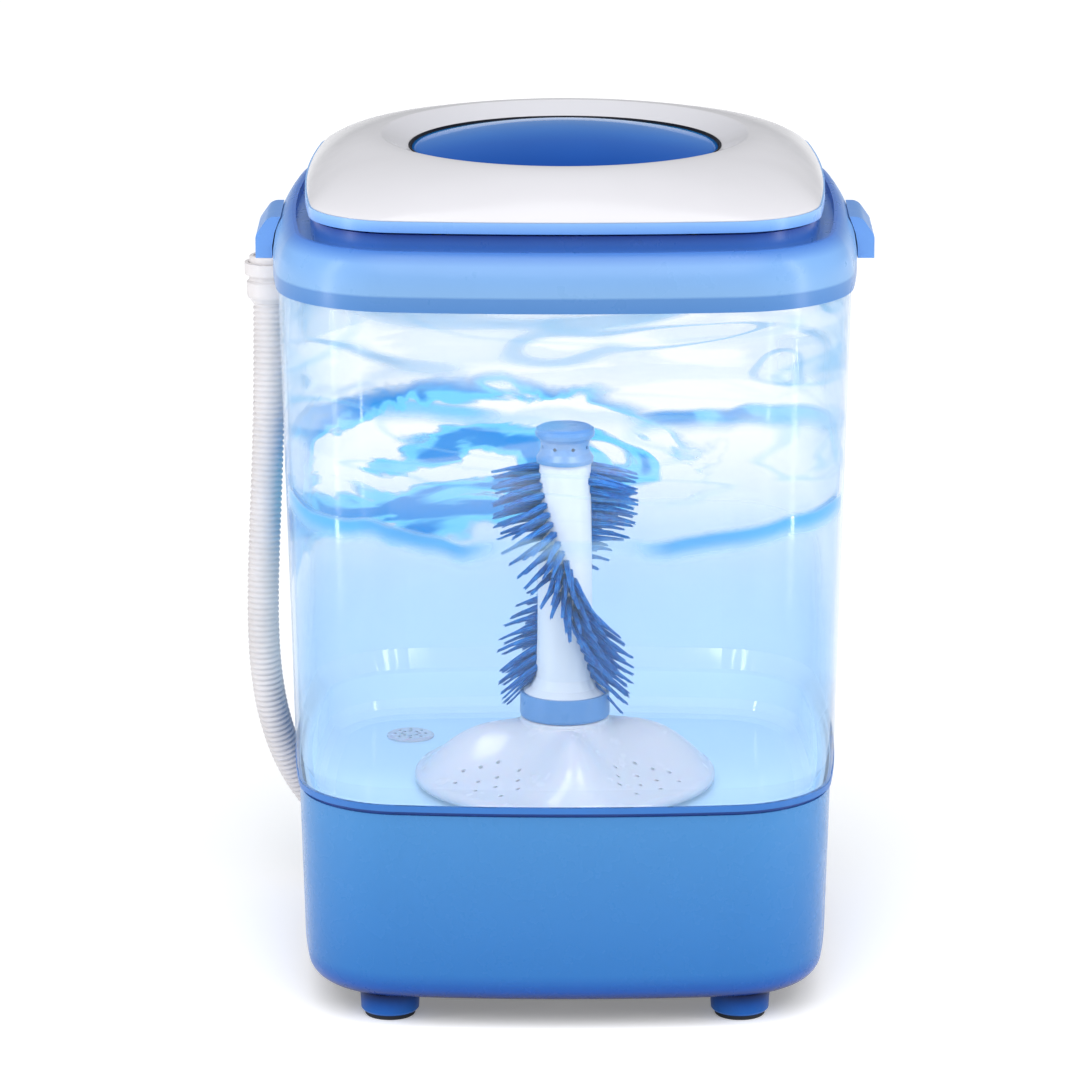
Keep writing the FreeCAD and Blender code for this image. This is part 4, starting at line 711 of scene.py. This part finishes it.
brush_blue = plain("brush_blue", paint(92, 146, 206), 0.3, coat=0.1, grain=0.08, mottle=0.02)
core_pale = plain("core_pale", paint(222, 230, 240), 0.35, grain=0.06, mottle=0.03)
finish_nodes(brush_blue, "brush_ring", "brush_cap")
finish_nodes(core_pale, "brush_core")
bristle_blue = bpy.data.materials.new("bristle_blue")
bristle_blue.use_nodes = True
bristle_tree = bristle_blue.node_tree
bristle_shader = bristle_tree.nodes["Principled BSDF"]
bristle_at = node_in(bristle_tree, "ShaderNodeTexCoord").outputs["Object"]
strand = node_in(bristle_tree, "ShaderNodeTexNoise", {
    "Vector": bristle_at, "Scale": 300.0, "Detail": 3.0})
strand_tone = node_in(bristle_tree, "ShaderNodeValToRGB", {"Fac": strand.outputs["Fac"]})
strand_tone.color_ramp.elements[0].position, strand_tone.color_ramp.elements[1].position = 0.3, 0.7
strand_tone.color_ramp.elements[0].color = paint(4, 90, 186)
strand_tone.color_ramp.elements[1].color = paint(26, 142, 228)
bristle_tree.links.new(strand_tone.outputs["Color"], bristle_shader.inputs["Base Color"])
strand_gloss = node_in(bristle_tree, "ShaderNodeMapRange", {
    "Value": strand.outputs["Fac"], "To Min": 0.25, "To Max": 0.5})
bristle_tree.links.new(strand_gloss.outputs["Result"], bristle_shader.inputs["Roughness"])

fibre_long, fibre_root, fibre_tip, fibre_sides = 0.0285, 0.00062, 0.00022, 3
fibre_steps, fibre_sag = 3, 0.0028
fibre_points, fibre_faces = [], []
for step in range(fibre_steps + 1):
    share = step / fibre_steps
    for turn in range(fibre_sides):
        angle = 2 * math.pi * turn / fibre_sides
        thick = fibre_root + (fibre_tip - fibre_root) * share ** 1.4
        fibre_points.append((fibre_long * share, thick * math.cos(angle),
                             thick * math.sin(angle) - fibre_sag * share ** 2))
for step in range(fibre_steps):
    for turn in range(fibre_sides):
        beside = (turn + 1) % fibre_sides
        fibre_faces.append((step * fibre_sides + turn, step * fibre_sides + beside,
                            (step + 1) * fibre_sides + beside, (step + 1) * fibre_sides + turn))
fibre_end = fibre_steps * fibre_sides
fibre_faces += [tuple(range(fibre_sides)), tuple(range(fibre_end, fibre_end + fibre_sides))]
fibre = mesh_piece("fibre", fibre_points, fibre_faces)

tufts = bpy.data.node_groups.new("spiral_tufts", "GeometryNodeTree")
tuft_inputs = {}
for label, kind, start in (("Fibre", "NodeSocketObject", None), ("Stations", "NodeSocketInt", 23),
                           ("Columns", "NodeSocketInt", 4), ("Strands", "NodeSocketInt", 17),
                           ("Low", "NodeSocketFloat", 0.165), ("High", "NodeSocketFloat", 0.2885),
                           ("Twist", "NodeSocketFloat", -2 * math.pi / 0.230),
                           ("Spread", "NodeSocketFloat", 0.24), ("Root", "NodeSocketFloat", 0.0142),
                           ("Tuft", "NodeSocketFloat", 0.0021), ("Seed", "NodeSocketInt", 11),
                           ("Finish", "NodeSocketMaterial", None)):
    tuft_inputs[label] = (tufts.interface.new_socket(label, in_out="INPUT", socket_type=kind), start)
tufts.interface.new_socket("Geometry", in_out="OUTPUT", socket_type="NodeSocketGeometry")
given = tufts.nodes.new("NodeGroupInput").outputs


def figure(kind, one, two=0.0, three=0.0):
    """One sum in the tuft tree."""
    made = tufts.nodes.new("ShaderNodeMath")
    made.operation = kind
    for place, value in enumerate((one, two, three)):
        if isinstance(value, bpy.types.NodeSocket):
            tufts.links.new(value, made.inputs[place])
        else:
            made.inputs[place].default_value = value
    return made.outputs[0]


def chance(low, high, offset, whose=None):
    """A random number for each strand, or for whatever is numbered, from the fixed seed."""
    made = node_in(tufts, "FunctionNodeRandomValue", data_type="FLOAT")
    if whose is not None:
        tufts.links.new(whose, made.inputs["ID"])
    made.inputs[2].default_value, made.inputs[3].default_value = low, high
    tufts.links.new(figure("ADD", given["Seed"], offset), made.inputs["Seed"])
    return made.outputs[1]


number_of = node_in(tufts, "GeometryNodeInputIndex").outputs[0]
tuft_count = figure("MULTIPLY", figure("MULTIPLY", given["Stations"], given["Columns"]), 2.0)
strand_count = figure("MULTIPLY", tuft_count, given["Strands"])
points = node_in(tufts, "GeometryNodePoints", {"Count": strand_count})
strand_no = figure("MODULO", number_of, given["Strands"])
tuft_no = figure("FLOOR", figure("DIVIDE", figure("ADD", number_of, 0.5), given["Strands"]))
fin_no = figure("MODULO", tuft_no, 2.0)
place_no = figure("FLOOR", figure("DIVIDE", figure("ADD", tuft_no, 0.5), 2.0))
column_no = figure("MODULO", place_no, given["Columns"])
station_no = figure("FLOOR", figure("DIVIDE", figure("ADD", place_no, 0.5), given["Columns"]))
rise = figure("DIVIDE", figure("ADD", station_no, figure("MULTIPLY", column_no, 0.5)), given["Stations"])
level = figure("MULTIPLY_ADD", rise, figure("SUBTRACT", given["High"], given["Low"]), given["Low"])
facing = figure("ADD", figure("MULTIPLY", figure("SUBTRACT", level, 0.1675), given["Twist"]),
                figure("MULTIPLY", fin_no, math.pi))
facing = figure("ADD", facing, figure("MULTIPLY", figure("SUBTRACT", column_no, 1.5), given["Spread"]))
sunflower_turn, tip_gather = 2.39996, 30.0
# within a tuft the strands fill a small disc, by the sunflower rule, and lean together at the tip
strand_share = figure("SQRT", figure("DIVIDE", figure("ADD", strand_no, 0.5), given["Strands"]))
strand_turn = figure("MULTIPLY", strand_no, sunflower_turn)
strand_reach = figure("MULTIPLY", given["Tuft"], strand_share)
off_side = figure("MULTIPLY", strand_reach, figure("COSINE", strand_turn))
off_up = figure("MULTIPLY", strand_reach, figure("SINE", strand_turn))
droop = figure("ADD", figure("MULTIPLY", figure("POWER", figure("SUBTRACT", 1.0, rise), 2.5), 0.50),
               figure("ADD", chance(0.0, 0.16, 3, tuft_no), chance(-0.02, 0.02, 9)))
astray = figure("ADD", chance(-0.10, 0.10, 5, tuft_no), chance(-0.02, 0.02, 13))
swing = figure("ADD", facing, figure("ADD", figure("MULTIPLY", off_side, -tip_gather), astray))
tilt = figure("ADD", droop, figure("MULTIPLY", off_up, tip_gather))
place_x = figure("SUBTRACT", figure("MULTIPLY", given["Root"], figure("COSINE", facing)),
                 figure("MULTIPLY", off_side, figure("SINE", facing)))
place_y = figure("ADD", figure("MULTIPLY", given["Root"], figure("SINE", facing)),
                 figure("MULTIPLY", off_side, figure("COSINE", facing)))
spot = node_in(tufts, "ShaderNodeCombineXYZ", {"X": place_x, "Y": place_y,
                                               "Z": figure("ADD", level, off_up)})
placed = node_in(tufts, "GeometryNodeSetPosition", {
    "Geometry": points.outputs[0], "Position": spot.outputs[0]})
turned = node_in(tufts, "ShaderNodeCombineXYZ", {"X": 0.0, "Y": tilt, "Z": swing})
size = node_in(tufts, "ShaderNodeCombineXYZ", {"X": chance(0.93, 1.0, 7), "Y": 1.0, "Z": 1.0})
fibre_in = node_in(tufts, "GeometryNodeObjectInfo", {"Object": given["Fibre"]})
set_in = node_in(tufts, "GeometryNodeInstanceOnPoints", {
    "Points": placed.outputs[0], "Rotation": turned.outputs[0], "Scale": size.outputs[0],
    "Instance": fibre_in.outputs["Geometry"]})
real = node_in(tufts, "GeometryNodeRealizeInstances", {"Geometry": set_in.outputs[0]})
coloured = node_in(tufts, "GeometryNodeSetMaterial", {
    "Geometry": real.outputs[0], "Material": given["Finish"]})
tufts.links.new(coloured.outputs[0], tufts.nodes.new("NodeGroupOutput").inputs[0])


def grown(name, tree, inputs, chosen):
    """Runs a tree once on an empty mesh, and keeps the result as a plain mesh."""
    seed_mesh = bpy.data.objects.new(name + "_seed", bpy.data.meshes.new(name + "_seed"))
    scene.collection.objects.link(seed_mesh)
    modifier = seed_mesh.modifiers.new(name, "NODES")
    modifier.node_group = tree
    for label, (socket, start) in inputs.items():
        value = chosen.get(label, start)
        if value is not None:
            modifier[socket.identifier] = value
    bpy.context.view_layer.update()
    mesh = bpy.data.meshes.new_from_object(seed_mesh.evaluated_get(
        bpy.context.evaluated_depsgraph_get()))
    bpy.data.objects.remove(seed_mesh)
    mesh.name = name
    made = bpy.data.objects.new(name, mesh)
    scene.collection.objects.link(made)
    return made


bristles = grown("bristle_tufts", tufts, tuft_inputs, {"Fibre": fibre, "Finish": bristle_blue})
bpy.data.objects.remove(fibre)
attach(bristles, "brush")
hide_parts("brush_bristles")

# ---------------------------------------------------------------------------------------------
# Drive. A small induction motor hangs from the tub's floor and turns the pulsator's pulley
# through a round belt; pressed covers, laminated iron, varnished copper.
# ---------------------------------------------------------------------------------------------

finish_nodes(plain("aluminium", paint(186, 188, 190), 0.42, grain=0.25, grain_size=0.0005, Metallic=1.0),
             "driven_pulley", "motor_cover_top", "motor_cover_bottom", "motor_pulley")
black_plastic = plain("black_plastic", paint(30, 31, 34), 0.5, grain=0.3, grain_size=0.0009)
finish_nodes(black_plastic, "bearing_housing", "cooling_fan", "cord_gland")
finish_nodes(plain("iron", paint(92, 92, 96), 0.5, grain=0.3, Metallic=0.8),
             "motor_stator", "rotor_core")
finish_nodes(plain("copper", paint(196, 112, 62), 0.34, grain=0.6, grain_size=0.0008, Metallic=0.9),
             "motor_windings")
finish_nodes(plain("belt_rubber", paint(24, 24, 26), 0.6, grain=0.4), "drive_belt")

# ---------------------------------------------------------------------------------------------
# Timer, terminals, capacitor and drain. Mouldings of grey engineering plastic, screwed or
# clipped inside the base.
# ---------------------------------------------------------------------------------------------

grey_plastic = plain("grey_plastic", paint(150, 154, 160), 0.45, grain=0.2)
finish_nodes(grey_plastic, "capacitor", "terminal_block", "timer_module", "drain_sump", "drain_pipe")
